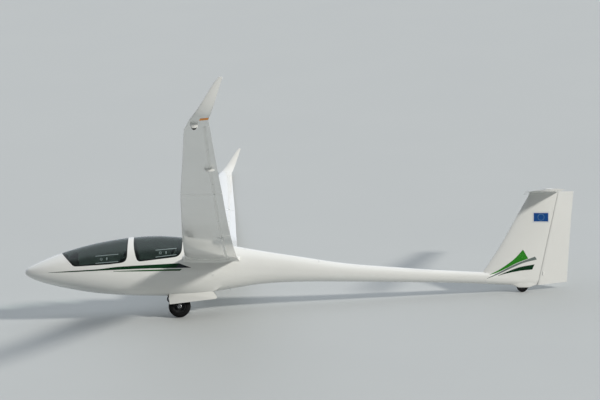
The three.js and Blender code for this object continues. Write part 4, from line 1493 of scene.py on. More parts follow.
def make_films():
    """The stripes under the canopy and the fin's flash and plate, by their lines in the photograph."""
    # Name, finish, surface, columns, rows, lower line, upper line.
    films = (
        (
            "dark_stripe", "stripe", skin_reach, 40, 4,
            ((50, 272.7), (73, 272), (100, 270.6), (120, 269.6), (150, 268.4), (176, 267.9)),
            ((50, 272.5), (73, 270.9), (100, 269.1), (120, 266.7), (150, 264.9), (180, 263.2)),
        ),
        (
            "stripe_tip", "charcoal", skin_reach, 12, 4,
            ((176, 267.9), (184, 267.7), (191.4, 267.6)),
            ((180, 263.2), (184.4, 264.9), (191.6, 267.4)),
        ),
        (
            "fin_bright_flash", "accent", tail_reach, 40, 8,
            ((489.5, 274.9), (497.4, 272.4), (507.3, 267.8), (516.4, 263.2), (528.2, 258.6)),
            ((489.5, 274.6), (498, 270.4), (506.5, 264.9), (515, 258.3), (523, 249.6)),
        ),
        (
            "fin_grey_flash", "grey_film", tail_reach, 40, 4,
            ((486.6, 278.7), (495.5, 275.4), (509.8, 268.9), (523, 263.1), (536.8, 259.5)),
            ((486.6, 278.4), (498.6, 272.6), (509.8, 266.8), (521, 261.8), (535, 256.6)),
        ),
        (
            "fin_dark_flash", "stripe", tail_reach, 40, 4,
            ((497.8, 275.9), (505.7, 273.6), (519.8, 270.8), (532.2, 269.5)),
            ((497.8, 275.6), (507.3, 271.6), (519.8, 267.1), (534.5, 264.4)),
        ),
        (
            "thin_stripe", "line", skin_reach, 40, 4,
            ((115, 271.4), (140, 271.3), (160, 270.9), (180.6, 270.6)),
            ((115, 271), (140, 270.1), (160, 269.4), (183, 268.9)),
        ),
    )
    for name, finish, reach, columns, rows, low, high in films:
        edges = [smooth_rows(photo_line(*points)) for points in (low, high)]
        film(name, *edges, reach, finish, columns, rows)
    make_plate()


def make_plate():
    """The blue plate on the fin with its pale edge and its ring."""
    for name, finish, (left, right), (low, high), above in (
        ("fin_plate_edge", "pale_film", (532.6, 549.6), (222.9, 211.6), 0.0006),
        ("fin_plate", "blue_film", (533.8, 548.4), (221.5, 213), 0.0011),
    ):
        edges = [photo_line((left, height), (right, height)) for height in (low, high)]
        film(name, *edges, fin_reach, finish, above=above)
    centre_x, centre_z = photo_line((541.1, 217.2))[0]
    for name, side in SIDES:
        rows = []
        for radius in (0.047, 0.053):
            row = []
            for i in range(49):
                x = centre_x + radius * math.cos(math.tau * i / 48)
                z = centre_z + radius * math.sin(math.tau * i / 48)
                row.append(Vector((x, side * (fin_reach(x, z) + 0.0016), z)))
            rows.append(row)
        ring = sheet_grid(f"fin_plate_ring_{name}", rows)
        open_edit(ring, "VERT")
        bpy.ops.mesh.remove_doubles(threshold=1e-5)
        close_edit()
        put(face_out(thicken(ring, 0.0004, 0)), "ring_film")


# Cockpit


def swell(form, most):
    """Blows a pad up with the pressure of a cloth simulation, no point further than a distance."""
    before = [vertex.co.copy() for vertex in form.data.vertices]
    modifier = form.modifiers.new("pressure", "CLOTH")
    modifier.settings.use_pressure = True
    modifier.settings.uniform_pressure_force = 4
    modifier.settings.effector_weights.gravity = 0
    modifier.point_cache.frame_start = 1
    modifier.point_cache.frame_end = 20
    for step in range(1, 21):
        bpy.context.scene.frame_set(step)
    apply_modifier(form, modifier)
    for vertex, start in zip(form.data.vertices, before):
        move = vertex.co - start
        if move.length > most:
            vertex.co = start + move * (most / move.length)
    bpy.context.scene.frame_set(1)


def press_channels(form, path, channels):
    """Presses sewn channels across the face of a pad, at shares of its length."""
    depth, width = 0.009, 0.008
    start, end = path[0][0], path[-1][0]
    places = [start + (end - start) * share for share in channels]
    slope = Vector((end - start, 0, path[-1][1] - path[0][1])).normalized()
    out = slope.cross(Vector((0, -1, 0)))
    pulls = []
    for vertex in form.data.vertices:
        fold = sum(math.exp(-(((vertex.co.x - place) / width) ** 2)) for place in places)
        faces_out = vertex.normal.dot(out) > 0.3
        pulls.append(out * depth * min(fold, 1) if faces_out else Vector())
    for vertex, pull in zip(form.data.vertices, pulls):
        vertex.co -= pull


def make_piping(name, middle, half, surface):
    """Piping round a pad, along the middle of its sides."""
    lift = Vector((0, half, 0))
    edge = [(Vector((p.x, 0, p.y)), Vector((a.x, 0, a.y))) for p, a in middle]
    round_edge = [(point - lift, Vector((0, -1, 0))) for point, _ in edge]
    round_edge += [(edge[-1][0] + lift * (i / 6 - 1), edge[-1][1]) for i in range(1, 12)]
    round_edge += [(point + lift, Vector((0, 1, 0))) for point, _ in reversed(edge)]
    round_edge += [(edge[0][0] + lift * (1 - i / 6), -edge[0][1]) for i in range(1, 12)]
    loop = [laid_on(surface, point, away, 0.0006, 0.04) for point, away in round_edge]
    loop = [(loop[i - 1] + point * 2 + loop[(i + 1) % len(loop)]) / 4 for i, point in enumerate(loop)]
    put(tube(name, [*loop, loop[0]], 0.0026, 8), "piping")


def make_pad(name, line, ends, thickness, half, channels):
    """A padded cushion along a stretch of the seat's line, with sewn channels across it and piping."""
    path = stretch(line, *ends)
    inset = 0.006
    outline = drawn_in(strip(path, GAP, thickness), inset)
    form = slab(name, outline, inset - half, half - inset)
    round_edges(form, 0.012, 3)
    modifier = form.modifiers.new("even", "REMESH")
    modifier.mode = "VOXEL"
    modifier.voxel_size = 0.007
    apply_modifier(form, modifier)
    swell(form, 0.009)
    press_channels(form, path, channels)
    modifier = form.modifiers.new("smooth", "SUBSURF")
    modifier.levels = modifier.render_levels = 1
    apply_modifier(form, modifier)
    surface = surface_of(form)
    make_piping(f"{name}_piping", walk(besides(path, thickness / 2), 24), half, surface)
    return form, surface


def pad_surface(surfaces, point, out, above):
    """A point on the outermost of the pads below it."""
    places = [laid_on(surface, point, out, above) for surface in surfaces]
    return max(places, key=lambda place: (place - point).dot(out))


def make_harness(name, line, surfaces, top, hip):
    """Two shoulder straps, two lap straps, a crotch strap and their round buckle."""
    upper = besides(stretch(line, hip - 0.2, top), 0.05)

    def side_point(x, across):
        return Vector((x, across, height_at(upper, x)))

    def laid(points):
        outs = []
        for i in range(len(points)):
            ahead = points[min(i + 1, len(points) - 1)] - points[max(i - 1, 0)]
            outs.append(Vector((-ahead.z, 0, ahead.x)).normalized() * (1 if ahead.x > 0 else -1))
        path = [pad_surface(surfaces, point, out, 0.0035) for point, out in zip(points, outs)]
        for _ in range(2):
            inner = [(a + b * 2 + c) / 4 for a, b, c in zip(path, path[1:], path[2:])]
            path = [path[0], *inner, path[-1]]
        return path

    buckle_x = hip - 0.13
    for label, side in SIDES:
        points = []
        for i in range(34):
            x = top - (top - buckle_x) * i / 33
            points.append(side_point(x, side * (0.03 + 0.06 * min(1, (x - buckle_x) / 0.25))))
        put(strap(f"shoulder_strap_{name}_{label}", laid(points), (0, 1, 0)), "webbing")
        points = []
        for i in range(14):
            part = i / 13
            points.append(side_point(hip + 0.02 - 0.13 * part, side * (0.2 - 0.17 * part)))
        put(strap(f"lap_strap_{name}_{label}", laid(points), (0.75, 0, 0.35)), "webbing")
    points = [side_point(buckle_x - 0.06 + 0.06 * i / 7, 0) for i in range(8)]
    put(strap(f"crotch_strap_{name}", laid(points), (0, 1, 0)), "webbing")
    foot = pad_surface(surfaces, side_point(buckle_x, 0), Vector((0.3, 0, 1)).normalized(), 0.003)
    disc = [(0, 0), (0.036, 0), (0.036, 0.01), (0.032, 0.014), (0.014, 0.014), (0.012, 0.02), (0, 0.02)]
    up = Vector((0.3, 0, 1)).normalized().to_track_quat("Z", "Y").to_matrix().to_4x4()
    buckle = turned(f"harness_buckle_{name}", disc, Matrix.Translation(foot) @ up, 32)
    put(buckle, "grey")


def make_seat(name):
    line = SEATS[name]
    room = carve(cabin_room(), well_box(2.6, GAP))
    smooth = [(x, min(z, height_at(line, x))) for x, z in smooth_rows(line, 40)]
    shape = strip(smooth, -SHELL, 0)
    tray = slab(f"seat_tray_skin_{name}", shape, -0.5, 0.5)
    carve(tray, block("low", (0, 3), (-0.6, 0.6), (0, SIDE_LEDGE)), "INTERSECT")
    carve(tray, slab("back", shape, -SEAT_HALF_WIDTH, SEAT_HALF_WIDTH), "UNION")
    carve(tray, room, "INTERSECT")
    put(tray, "tray", node=f"seat_tray_{name}")

    foot, top = line[-2], line[-1]
    knee, hip = line[1][0], line[3][0]

    def slant(part):
        return foot[0] + part * (top[0] - foot[0])

    pads = (
        ("seat_cushion", (knee + 0.07, hip - 0.01), 0.045, 0.2, (0.25, 0.5, 0.75)),
        ("back_cushion", (slant(0.14), slant(0.74)), 0.05, 0.2, (0.2, 0.4, 0.6, 0.8)),
        ("headrest", (slant(0.82), slant(0.98)), 0.055, 0.09, ()),
    )
    surfaces = []
    for pad, ends, thickness, half, channels in pads:
        form, surface = make_pad(f"{pad}_cloth_{name}", line, ends, thickness, half, channels)
        surfaces.append(surface)
        put(form, "cloth", node=f"{pad}_{name}", angle=60)
    make_harness(name, line, surfaces[:2], slant(0.8), hip)
    make_stick(name, line)


def make_stick(name, line):
    station = STICK_STATIONS[name]
    foot = Vector((station, 0, height_at(line, station)))
    grip = [
        (0, 0.012), (0.008, 0.012), (0.008, 0.104), (0.012, 0.112), (0.0165, 0.122), (0.015, 0.136),
        (0.017, 0.15), (0.0158, 0.166), (0.0175, 0.184), (0.0165, 0.2), (0.011, 0.212), (0, 0.216),
    ]
    stick = turned(f"stick_and_grip_{name}", grip, Matrix.Translation(foot), 32)
    put(stick, "black", node=f"control_stick_{name}")
    button = ball(f"stick_button_{name}", foot + Vector((0.01, 0, 0.212)), (0.006, 0.006, 0.004), 16)
    put(button, "red")
    pleats = [(0.05, 0.002)]
    for i in range(6):
        radius = 0.046 - 0.006 * i
        pleats += [(radius, 0.006 + 0.014 * i), (radius - 0.006, 0.013 + 0.014 * i)]
    profile = [*pleats, (0.009, 0.092), (0.007, 0.092), (0.007, 0.002)]
    boot = turned(f"stick_boot_{name}", profile, Matrix.Translation(foot), 40)
    slope = (height_at(line, station + 0.01) - height_at(line, station - 0.01)) / 0.02
    for vertex in boot.data.vertices:
        height = vertex.co.z - foot.z
        vertex.co.z += slope * (vertex.co.x - foot.x) * (1 - height / 0.092)
    put(boot, "leather", angle=60)


def make_dials(name, frame, dials):
    """Round instruments on a face: a bezel, a black face with marks round it, and a pointer."""
    bezels, faces, marks, pointers = [], [], [], []
    ring = [(1.1, 0), (1.1, 0.004), (1.02, 0.006), (0.94, 0.005), (0.9, 0.002), (0.9, 0)]
    disc = [(0, 0.0004), (0.92, 0.0004), (0.92, 0.0014), (0, 0.0014)]
    for across, up, radius in dials:
        at = frame @ Matrix.Translation((across, up, 0))
        bezels.append(turned("bezel", [(radius * r, h) for r, h in ring], at, 40))
        faces.append(turned("face", [(radius * r, h) for r, h in disc], at, 40))
        mark = block("mark", (-0.0009, 0.0009), (radius * 0.7, radius * 0.86), (0.0012, 0.0018))
        open_edit(mark)
        bpy.ops.mesh.spin(
            steps=10, dupli=True, angle=math.radians(300), center=(0, 0, 0), axis=(0, 0, 1)
        )
        close_edit()
        marks.append(set_in(mark, at @ Matrix.Rotation(math.radians(30), 4, "Z")))
        pointer = block("pointer", (-0.0014, 0.0014), (-radius * 0.2, radius * 0.66), (0.002, 0.0028))
        turn = Matrix.Rotation(math.radians(140 + 900 * across), 4, "Z")
        pointers.append(set_in(pointer, at @ turn))
    for label, forms, finish in (
        ("bezels", bezels, "black"),
        ("faces", faces, "screen"),
        ("marks", marks, "white_mark"),
        ("pointers", pointers, "orange"),
    ):
        put(join(f"{name}_{label}", forms), finish)


def make_boxes(frame, boxes):
    """The boxes of a panel. Those that are screens have sharper edges."""
    for name, finish, across, up, height in boxes:
        form = block(name, across, up, (0.0004, height))
        round_edges(form, 0.0005 if finish == "screen" else 0.003)
        put(set_in(form, frame), finish)


def make_pod():
    """The front instruments: the pod with its hood, dials, boxes and knobs."""
    pod = slab("instrument_pod", POD, -POD_HALF, POD_HALF)
    carve(pod, cabin_room(), "INTERSECT")
    round_edges(pod, 0.008, 3, 50)
    put(pod, "grey", node="instrument_pod_front")
    hood = []
    for i in range(9):
        part = i / 8
        x = 0.69 + 0.15 * part
        half, top = 0.105 + 0.02 * part, 0.952 + 0.082 * math.sin(part * math.pi / 2)
        base = height_at(POD[:4], x) - 0.006
        ring = []
        for k in range(17):
            angle = math.pi * k / 16
            ring.append(Vector((x, half * math.cos(angle), base + (top - base) * math.sin(angle))))
        ring += [Vector((x, half * (k / 8 - 1), base - 0.004)) for k in range(1, 16)]
        hood.append(ring)
    put(loft("instrument_hood", hood), "black", angle=50)
    frame = face_frame(POD[4], POD[3])
    make_dials("front_dials", frame, POD_DIALS)
    make_boxes(frame, POD_BOXES)
    knob = [(0, 0), (0.007, 0), (0.007, 0.012), (0.005, 0.014), (0, 0.014)]
    knobs = [
        turned("knob", knob, frame @ Matrix.Translation((across, up, 0.011)), 20)
        for across, up in POD_KNOBS
    ]
    put(join("front_knobs", knobs), "rail")


def make_rear_panel():
    (front, back), (low, high), half = (REAR_PANEL[key] for key in ("stations", "heights", "half"))
    panel = block("rear_panel", (front, back), (-half, half), (low, high))
    round_edges(panel, 0.006, 3)
    beam = block("rear_beam", REAR_BEAM["stations"], (-0.5, 0.5), REAR_BEAM["heights"])
    carve(beam, cabin_room(), "INTERSECT")
    put(join("instrument_panel_and_beam", [panel, beam]), "grey", node="instrument_panel_rear")
    frame = face_frame((back, low), (back, high))
    make_dials("rear_dials", frame, REAR_DIALS)
    make_boxes(frame, REAR_BOXES)


def make_controls(name):
    """The consoles of both sides, the levers of the left one, and the canopy's two latches."""
    shift = {"front": 0.0, "rear": 0.9}[name]
    height, inner = SIDE_LEDGE + 0.045, SEAT_HALF_WIDTH + 0.012
    for label, side in SIDES:
        rows = []
        for i in range(12):
            x = 1.0 + shift + 0.42 * i / 11
            wall = skin_reach(x, height) - SHELL - 0.004
            outline = (
                (wall, height - 0.04), (wall, height), (inner + 0.012, height), (inner, height - 0.012),
                (inner, height - 0.04),
            )
            rows.append([Vector((x, side * y, z)) for y, z in outline])
        console = loft(f"side_console_{name}_{label}", rows)
        put(round_edges(console, 0.003), "tray")
    x, y, z = 1.03 + shift, -SEAT_HALF_WIDTH - 0.035, SIDE_LEDGE + 0.04
    for lever, finish, distance, (aft, across, up), radii in LEVERS:
        knob = (x + aft, y + across, z + up)
        put(tube(f"{lever}_{name}_arm", [(x + distance, y, z), knob], 0.0055), "metal")
        put(ball(f"{lever}_{name}_knob", knob, radii, 24), finish, angle=80)
    handle = ((-0.05, 0, 0.004), (-0.045, 0, -0.024), (0.045, 0, -0.024), (0.05, 0, 0.004))
    for label, side in SIDES:
        frame = side_frame(1.2 + shift, 0.85 if name == "rear" else 0.8, side, -0.02)
        latch = tube(f"canopy_latch_{name}_{label}", [frame @ Vector(p) for p in handle], 0.006)
        put(latch, "red" if side > 0 else "rail", body="canopy")


def make_pedals():
    bars = []
    for side in (-1, 1):
        y = side * 0.09
        plate = block("pedal", (-0.004, 0.004), (-0.045, 0.045), (-0.06, 0.06))
        round_edges(plate, 0.003)
        turn = Matrix.Rotation(math.radians(-25), 4, "Y")
        bars.append(set_in(plate, Matrix.Translation((0.56, y, 0.66)) @ turn))
        bars.append(tube("pedal_stay", [(0.57, y, 0.61), (0.6, y, 0.54), (0.62, y, 0.515)], 0.007))
    put(join("rudder_pedals", bars), "grey")


# Landing gear


def tyre_profile(radius, half, centre, bead, bead_half, grooves=(), depth=0.003, groove=0.0022):
    """A tyre's closed profile: a rounded tread with grooves round it, walls and beads."""
    places = {i / 24 for i in range(-24, 25)}
    for place in grooves:
        for move in (-groove, -groove * 0.7, groove * 0.7, groove):
            places.add((place + move) / half)
    profile = [(bead, -bead_half)]
    for part in sorted(places):
        reach = (1 - abs(part) ** 2.2) ** (1 / 2.2)
        deep_in = any(abs(part * half - place) < groove * 0.85 for place in grooves)
        profile.append((centre + (radius - centre) * reach - (depth if deep_in else 0), part * half))
    return [*profile, (bead, bead_half)]


def make_main_wheel():
    x, z, radius = MAIN_WHEEL["x"], MAIN_WHEEL["z"], MAIN_WHEEL["radius"]
    frame = axle_frame(x, 0, z)
    profile = tyre_profile(radius, 0.0595, 0.11, 0.0935, 0.046, (-0.024, -0.008, 0.008, 0.024))
    tyre = turned("main_tyre_tread", profile, frame, 96)
    put(tyre, "rubber", node="main_tyre", angle=40)
    half = [
        (0.0127, 0.06), (0.028, 0.06), (0.032, 0.056), (0.034, 0.022), (0.04, 0.014), (0.07, 0.012),
        (0.077, 0.018), (0.082, 0.04), (0.086, 0.0505), (0.098, 0.0515), (0.1, 0.05), (0.098, 0.0475),
        (0.0932, 0.046), (0.091, 0.03), (0.086, 0.016),
    ]
    rim = turned("main_rim_turned", both_ways(half), frame, 72)
    punch = [(0, -0.03), (0.011, -0.03), (0.011, 0.03), (0, 0.03)]
    for k in range(6):
        angle = math.tau * k / 6
        spot = axle_frame(x + 0.054 * math.cos(angle), 0, z + 0.054 * math.sin(angle))
        carve(rim, turned("hole", punch, spot, 24))
    put(rim, "rim", node="main_rim")
    make_brake_and_caps(frame)
    make_fork(x, z)


def make_brake_and_caps(frame):
    """The disc that turns with the main wheel, and the nuts and ends of its axle."""
    disc = [
        (0.03, 0.0612), (0.085, 0.0612), (0.0855, 0.0618), (0.0855, 0.0648), (0.085, 0.0654),
        (0.03, 0.0654),
    ]
    put(turned("brake_disc", disc, frame, 64), "grey", body="main_wheel")
    nut = [
        (0.0125, 0.082), (0.03, 0.082), (0.031, 0.084), (0.031, 0.09), (0.028, 0.092), (0.0125, 0.092),
    ]
    stub = [(0, 0.08), (0.0118, 0.08), (0.0118, 0.094), (0.0095, 0.0975), (0, 0.0975)]
    caps = []
    for side in (-1, 1):
        turn = frame @ Matrix.Rotation(math.pi * (side < 0), 4, "X")
        caps += [turned("cap", nut, turn, 40), turned("stub", stub, turn, 6)]
    put(join("axle_caps", caps), "metal")


def make_fork(x, z):
    """The fork's two arms and cross tube, the stays ahead of them, and the spring behind."""
    top = Vector((FORK_TOP["x"], 0, FORK_TOP["z"]))
    arc = [math.radians(180 + 15 * i) for i in range(13)]
    leg = [(x + 0.026 * math.cos(angle), z + 0.026 * math.sin(angle)) for angle in arc]
    leg += [(top.x + 0.016, top.z), (top.x - 0.016, top.z)]
    parts, stays = [], []
    for side in (-1, 1):
        low, high = sorted(side * (MAIN_WHEEL["arm"] + edge) for edge in (-0.006, 0.006))
        arm = round_edges(slab("arm", leg, low, high), 0.003)
        parts.append(carve(arm, rod("bore", (x, -0.13, z), (x, 0.13, z), 0.0125)))
    reach = Vector((0, WELL["half"] - GAP, 0))
    parts.append(rod("cross", top - reach, top + reach, FORK_TOP["radius"], 32))
    put(join("fork_welded", parts), "grey", node="main_fork")
    for side in (-1, 1):
        y = side * 0.088
        line = [(x, y, z), (2.38, y, 0.21), (2.272, y, 0.272), (2.305, y, 0.4), (2.36, y, 0.6)]
        stays.append(tube("stay", smooth_rows(line), 0.0075, 16))
        stays.append(rod("eye", (x, y - 0.006, z), (x, y + 0.006, z), 0.019, 32))
    stays.append(rod("brace", (2.275, -0.088, 0.285), (2.275, 0.088, 0.285), 0.009, 20))
    put(join("front_stays", stays), "black")
    spring = [top, top + Vector((0.05, 0, 0.02)), (2.75, 0, 0.56), (2.93, 0, 0.6)]
    put(tube("gear_spring", spring, 0.014), "metal")


def make_door_sill(side, name):
    """The belly's full edge beside a gear door, which takes over from the round skin aft of it."""
    inner = WELL["half"] + GAP
    outer = inner + 0.095
    start, fade = 2.35, 0.16
    end = WELL["back"] + fade
    rings = []
    for station in spread(start, end, 0.02):
        low, half, waist = (
            column(station) for column in (FUSELAGE_BOTTOM, FUSELAGE_HALF, FUSELAGE_WAIST)
        )

        def skin_at(y, low=low, half=half, waist=waist):
            return waist - (waist - low) * math.sqrt(1 - (y / half) ** 2)

        part = min(1, (station - start) / (WELL["back"] - start))
        fading = eased(min(1, (end - station) / fade))
        drop = (skin_at(inner) - low) * 0.82 * part**1.5 * fading
        ring = [(inner, skin_at(inner) + 0.006), (inner, skin_at(inner) - drop)]
        for i in range(1, 7):
            y = inner + (outer - inner) * i / 6
            ring.append((y, skin_at(y) - drop * (1 - i / 6) ** 1.8 + 0.0025 * (i / 6) ** 2))
        ring.append((outer, skin_at(outer) + 0.006))
        rings.append([Vector((station, side * y, z)) for y, z in ring])
    put(loft(f"gear_door_sill_{name}", rings), "gelcoat", angle=50)


def make_gear_doors():
    half_thickness = 0.003
    middle = WELL["half"] - GAP - half_thickness
    for name, side in SIDES:
        low, high = sorted(side * (middle + edge) for edge in (-half_thickness, half_thickness))
        door = round_edges(slab(f"gear_door_skin_{name}", GEAR_DOOR, low, high), 0.0022, 3)
        put(door, "gelcoat", node=f"gear_door_{name}")
        make_door_sill(side, name)
        y = side * (middle - half_thickness - 0.004)
        ribs = [tube("rib", [(x, y, z) for x, z in line], 0.005, 10) for line in DOOR_RIBS]
        put(join(f"gear_door_ribs_{name}", ribs), "grey")


def make_tail_wheel():
    frame = axle_frame(TAIL_WHEEL["x"], 0, TAIL_WHEEL["z"])
    tread = (-0.007, 0.007)
    profile = tyre_profile(TAIL_WHEEL["radius"], 0.0245, 0.066, 0.0455, 0.021, tread, 0.0016, 0.0014)
    put(turned("tail_tyre_tread", profile, frame, 64), "rubber", node="tail_tyre", angle=40)
    half = [
        (0.0087, 0.022), (0.016, 0.022), (0.018, 0.012), (0.036, 0.01), (0.04, 0.02), (0.0452, 0.021),
        (0.0452, 0.012),
    ]
    put(turned("tail_hub_turned", both_ways(half), frame, 48), "rim", node="tail_hub")


def make_tip_wheel(side, name):
    """The small wheel under a wing's tip with its hub, its fairing and its pin."""
    x, span, radius = TIP_WHEEL["x"], TIP_WHEEL["span"], TIP_WHEEL["radius"]
    y, height = side * span, wing_height(span)
    z = height - TIP_WHEEL["drop"]
    wheel, frame = f"tip_wheel_{name}", axle_frame(x, y, z)
    profile = tyre_profile(radius, 0.0088, 0.023, 0.013, 0.008)
    put(turned(f"tip_tyre_{name}", profile, frame, 48), "rubber", node=wheel, angle=40)
    half_hub = [(0.0047, 0.0092), (0.008, 0.0092), (0.009, 0.006), (0.0132, 0.0055), (0.0132, 0.002)]
    put(turned(f"tip_hub_{name}", both_ways(half_hub), frame, 32), "metal", body=wheel)
    half, bottom, slot = TIP_FAIRING["half"], TIP_FAIRING["bottom"], TIP_FAIRING["slot"]
    fairing = ball(f"tip_fairing_{name}", (x, y, height), TIP_FAIRING["radii"], 64)
    section = wing_section(span, side)
    keep = section_frame(section, section.point(x - section.nose.x, 0))
    box = framed_block("keep", keep, (-half, half), (-0.04, 0.04), (-bottom, -0.003))
    carve(fairing, box, "INTERSECT")
    carve(fairing, wing_form("wing", span - 0.2, WING_END, side, GAP))
    carve(fairing, rod("slot", (x, y - slot, z), (x, y + slot, z), radius + 0.005, 40))
    put(fairing, "gelcoat", node=f"tip_wheel_fairing_{name}", angle=40)
    pin = rod(f"tip_pin_{name}", (x, y - slot - 0.001, z), (x, y + slot + 0.001, z), 0.004)
    put(pin, "metal")


# Airbrakes, engine bay and small fittings


def make_airbrake(side, name):
    """An airbrake: the upper blade under its lid, which lies flush with the wing, and the lower one."""
    matrix = airbrake_frame(side)
    half, depth, cap = AIRBRAKE["length"] / 2, AIRBRAKE["depth"], AIRBRAKE["cap"]
    rings = []
    for i in range(27):
        y = half * (i / 13 - 1)
        across = [-cap + 2 * cap * k / 8 for k in range(9)]
        ring = [Vector((x, y, -0.0006 - 0.6 * x * x)) for x in across]
        ring += [Vector((x, y, -0.0048)) for x in (cap, cap / 3, -cap / 3, -cap)]
        rings.append(ring)
    lid = set_in(loft(f"airbrake_cap_{name}", rings), matrix)
    half, low = half - 0.005, GAP - depth
    upper = perforated("upper", (-0.009, -0.001), (low, -0.0042), half, matrix)
    blade = join(f"airbrake_upper_blade_{name}", [lid, upper])
    put(blade, "gelcoat", node=f"airbrake_upper_{name}")
    lower = perforated(f"airbrake_lower_blade_{name}", (0.005, 0.013), (low, -0.011), half, matrix)
    put(lower, "metal", node=f"airbrake_lower_{name}")


def perforated(name, xs, zs, half, matrix):
    """A blade with a row of round holes."""
    blade = block(name, xs, (-half, half), zs)
    middle, first, step = (zs[0] + zs[1]) / 2, 0.06 - half, 0.0585
    punch = rod("punch", (xs[0] - 0.01, first, middle), (xs[1] + 0.01, first, middle), 0.014)
    row = punch.modifiers.new("row", "ARRAY")
    row.use_relative_offset = False
    row.use_constant_offset = True
    row.constant_offset_displace = (0, step, 0)
    row.count = int(-2 * first / step) + 1
    apply_modifier(punch, row)
    carve(blade, punch)
    return set_in(blade, matrix)


def make_engine_doors():
    bay, edge = ENGINE_BAY, 0.005
    stations, heights = (bay["front"] + edge, bay["back"] - edge), (bay["floor"] + 0.1, ABOVE)
    for name, side in SIDES:
        door = hull(f"engine_door_skin_{name}", bay["front"] - 0.04, bay["back"] + 0.04, 0)
        carve(door, hull("inside", bay["front"] - 0.1, bay["back"] + 0.1, SHELL))
        across = sorted((side * edge / 2, side * (bay["half"] - 0.0005)))
        carve(door, block("door", stations, across, heights), "INTERSECT")
        put(door, "gelcoat", node=f"engine_door_{name}")


def make_engine():
    """The engine's case on its foot, two cylinders with fins, and the exhaust beside them."""
    floor, barrel, fin = ENGINE_BAY["floor"], CYLINDERS["barrel"], CYLINDERS["fin"]
    case = block("case", (3.6, 3.98), (-0.08, 0.08), (floor + 0.02, floor + 0.12))
    foot = block("foot", (3.57, 4.03), (-0.095, 0.095), (floor + 0.0006, floor + 0.024))
    parts = [round_edges(case, 0.012, 3), round_edges(foot, 0.006)]
    profile = [(0, 0)]
    for k in range(7):
        low = CYLINDERS["step"] * k
        profile += [(barrel, low), (fin, low + 0.002), (fin, low + 0.006), (barrel, low + 0.009)]
    profile += [(barrel, 0.092), (0.03, 0.104), (0.012, 0.108), (0.01, 0.124), (0, 0.124)]
    for x in CYLINDERS["stations"]:
        parts.append(turned("cylinder", profile, Matrix.Translation((x, 0, floor + 0.118)), 32))
    put(join("engine_case_and_cylinders", parts), "cast", node="engine")
    pipes = []
    for x in CYLINDERS["stations"]:
        line = [(x, 0.04, floor + 0.16), (x + 0.02, 0.075, floor + 0.15), (x + 0.06, 0.08, floor + 0.09)]
        pipes.append(tube("pipe", smooth_rows(line, 12), 0.013, 16))
    muffler = [(x, 0.076, floor + 0.075) for x in (3.62, 4.02)]
    pipes.append(rod("muffler", *muffler, 0.022, 32))
    put(join("engine_exhaust", pipes), "metal")


def make_drive_fairing(name, section, hang):
    """The pod under a control surface's drive, hollowed so that the surface can swing down over it."""
    along, height, radius = section.pivot()
    length, floor = 0.088, -radius - 0.006
    form = ball(name, (0, 0, 0), (length, 0.02, hang + 0.012), 40)
    for vertex in form.data.vertices:
        aft = max(vertex.co.x / length, 0)
        vertex.co.y *= 1 - 0.45 * aft
        vertex.co.z *= 1 - 0.3 * aft
    set_in(form, section_frame(section, section.point(along - 0.008, height - radius)))
    hinge = section_frame(section, section.point(along, height))
    lowered = hinge @ Matrix.Rotation(math.radians(20), 4, "Y")
    for label, frame_there, xs, low in (
        ("swing", lowered, (-0.002, 0.3), floor),
        ("nose", hinge, (floor, 0.1), floor),
        ("skin", hinge, (-0.3, 0.001), -radius * 0.6),
    ):
        carve(form, framed_block(label, frame_there, xs, (-0.1, 0.1), (low, 0.2)))
    put(form, "gelcoat", angle=50)


def make_wing_fittings(side, name):
    """Tape over the wing's joint, the drives' fairings, the rib between flap and aileron, and a strip."""
    joint = WING_JOINT
    rings = [wing_section(joint + move, side).ring(WING_PARTS, 0.0004) for move in (-0.018, 0.018)]
    sleeve = loft(f"wing_joint_tape_{name}", rings)
    carve(sleeve, wing_form("inside", joint - 0.1, joint + 0.1, side))
    carve(sleeve, surface_cut(side, joint - 0.1, joint + 0.1))
    put(sleeve, "tape")
    for label, span, hang in (("flap", 3.36, 0.016), ("aileron", 7.8, 0.042)):
        make_drive_fairing(f"{label}_drive_fairing_{name}", wing_section(span, side), hang)
    ends = [part for part in WING_PARTS if part > 0.8]
    rings = [wing_section(span, side).ring(ends) for span in (6.489, 6.511)]
    put(loft(f"wing_end_rib_{name}", rings), "gelcoat")
    rows = []
    for place in (0.01, 0.12, 0.23, 0.34, 0.45):
        section = winglet_section(place, side)
        rows.append([section.skin(0.52 + 0.46 * i / 12, 1, 0.0007) for i in range(13)])
    put(thicken(sheet_grid(f"wing_end_strip_{name}", rows), 0.0006, 0), "orange")


def make_body_fittings():
    """The covers of the rudder's drive, the static ports, the pins under the wings and the drain."""
    x, z = 8.262, 0.702
    reach = fin_reach(x, z) + 0.001
    covers = [ball("cover", (x, side * reach, z), (0.012, 0.008, 0.042)) for side in (-1, 1)]
    put(join("rudder_drive_covers", covers), "gelcoat", body="rudder", angle=60)
    (port_x, port_z), (pin_x, pin_z) = photo_line((228.4, 286.3), (213.9, 274.6))
    port = [(0, 0), (0.007, 0), (0.006, 0.001), (0, 0.001)]
    pin = [(0, -0.004), (0.006, -0.004), (0.005, 0.022), (0, 0.024)]
    for name, side in SIDES:
        at = side_frame(port_x, port_z, side, 0.0002)
        put(turned(f"static_port_{name}", port, at, 24), "metal")
        at = side_frame(pin_x, pin_z, side)
        put(turned(f"side_pin_{name}", pin, at, 16), "pale_film")
    low = FUSELAGE_BOTTOM(3.27)
    line = [(3.26, -0.02, low + 0.008), (3.268, -0.02, low - 0.012), (3.28, -0.02, low - 0.026)]
    put(tube("drain_stub", line, 0.005), "rail")


# Stage


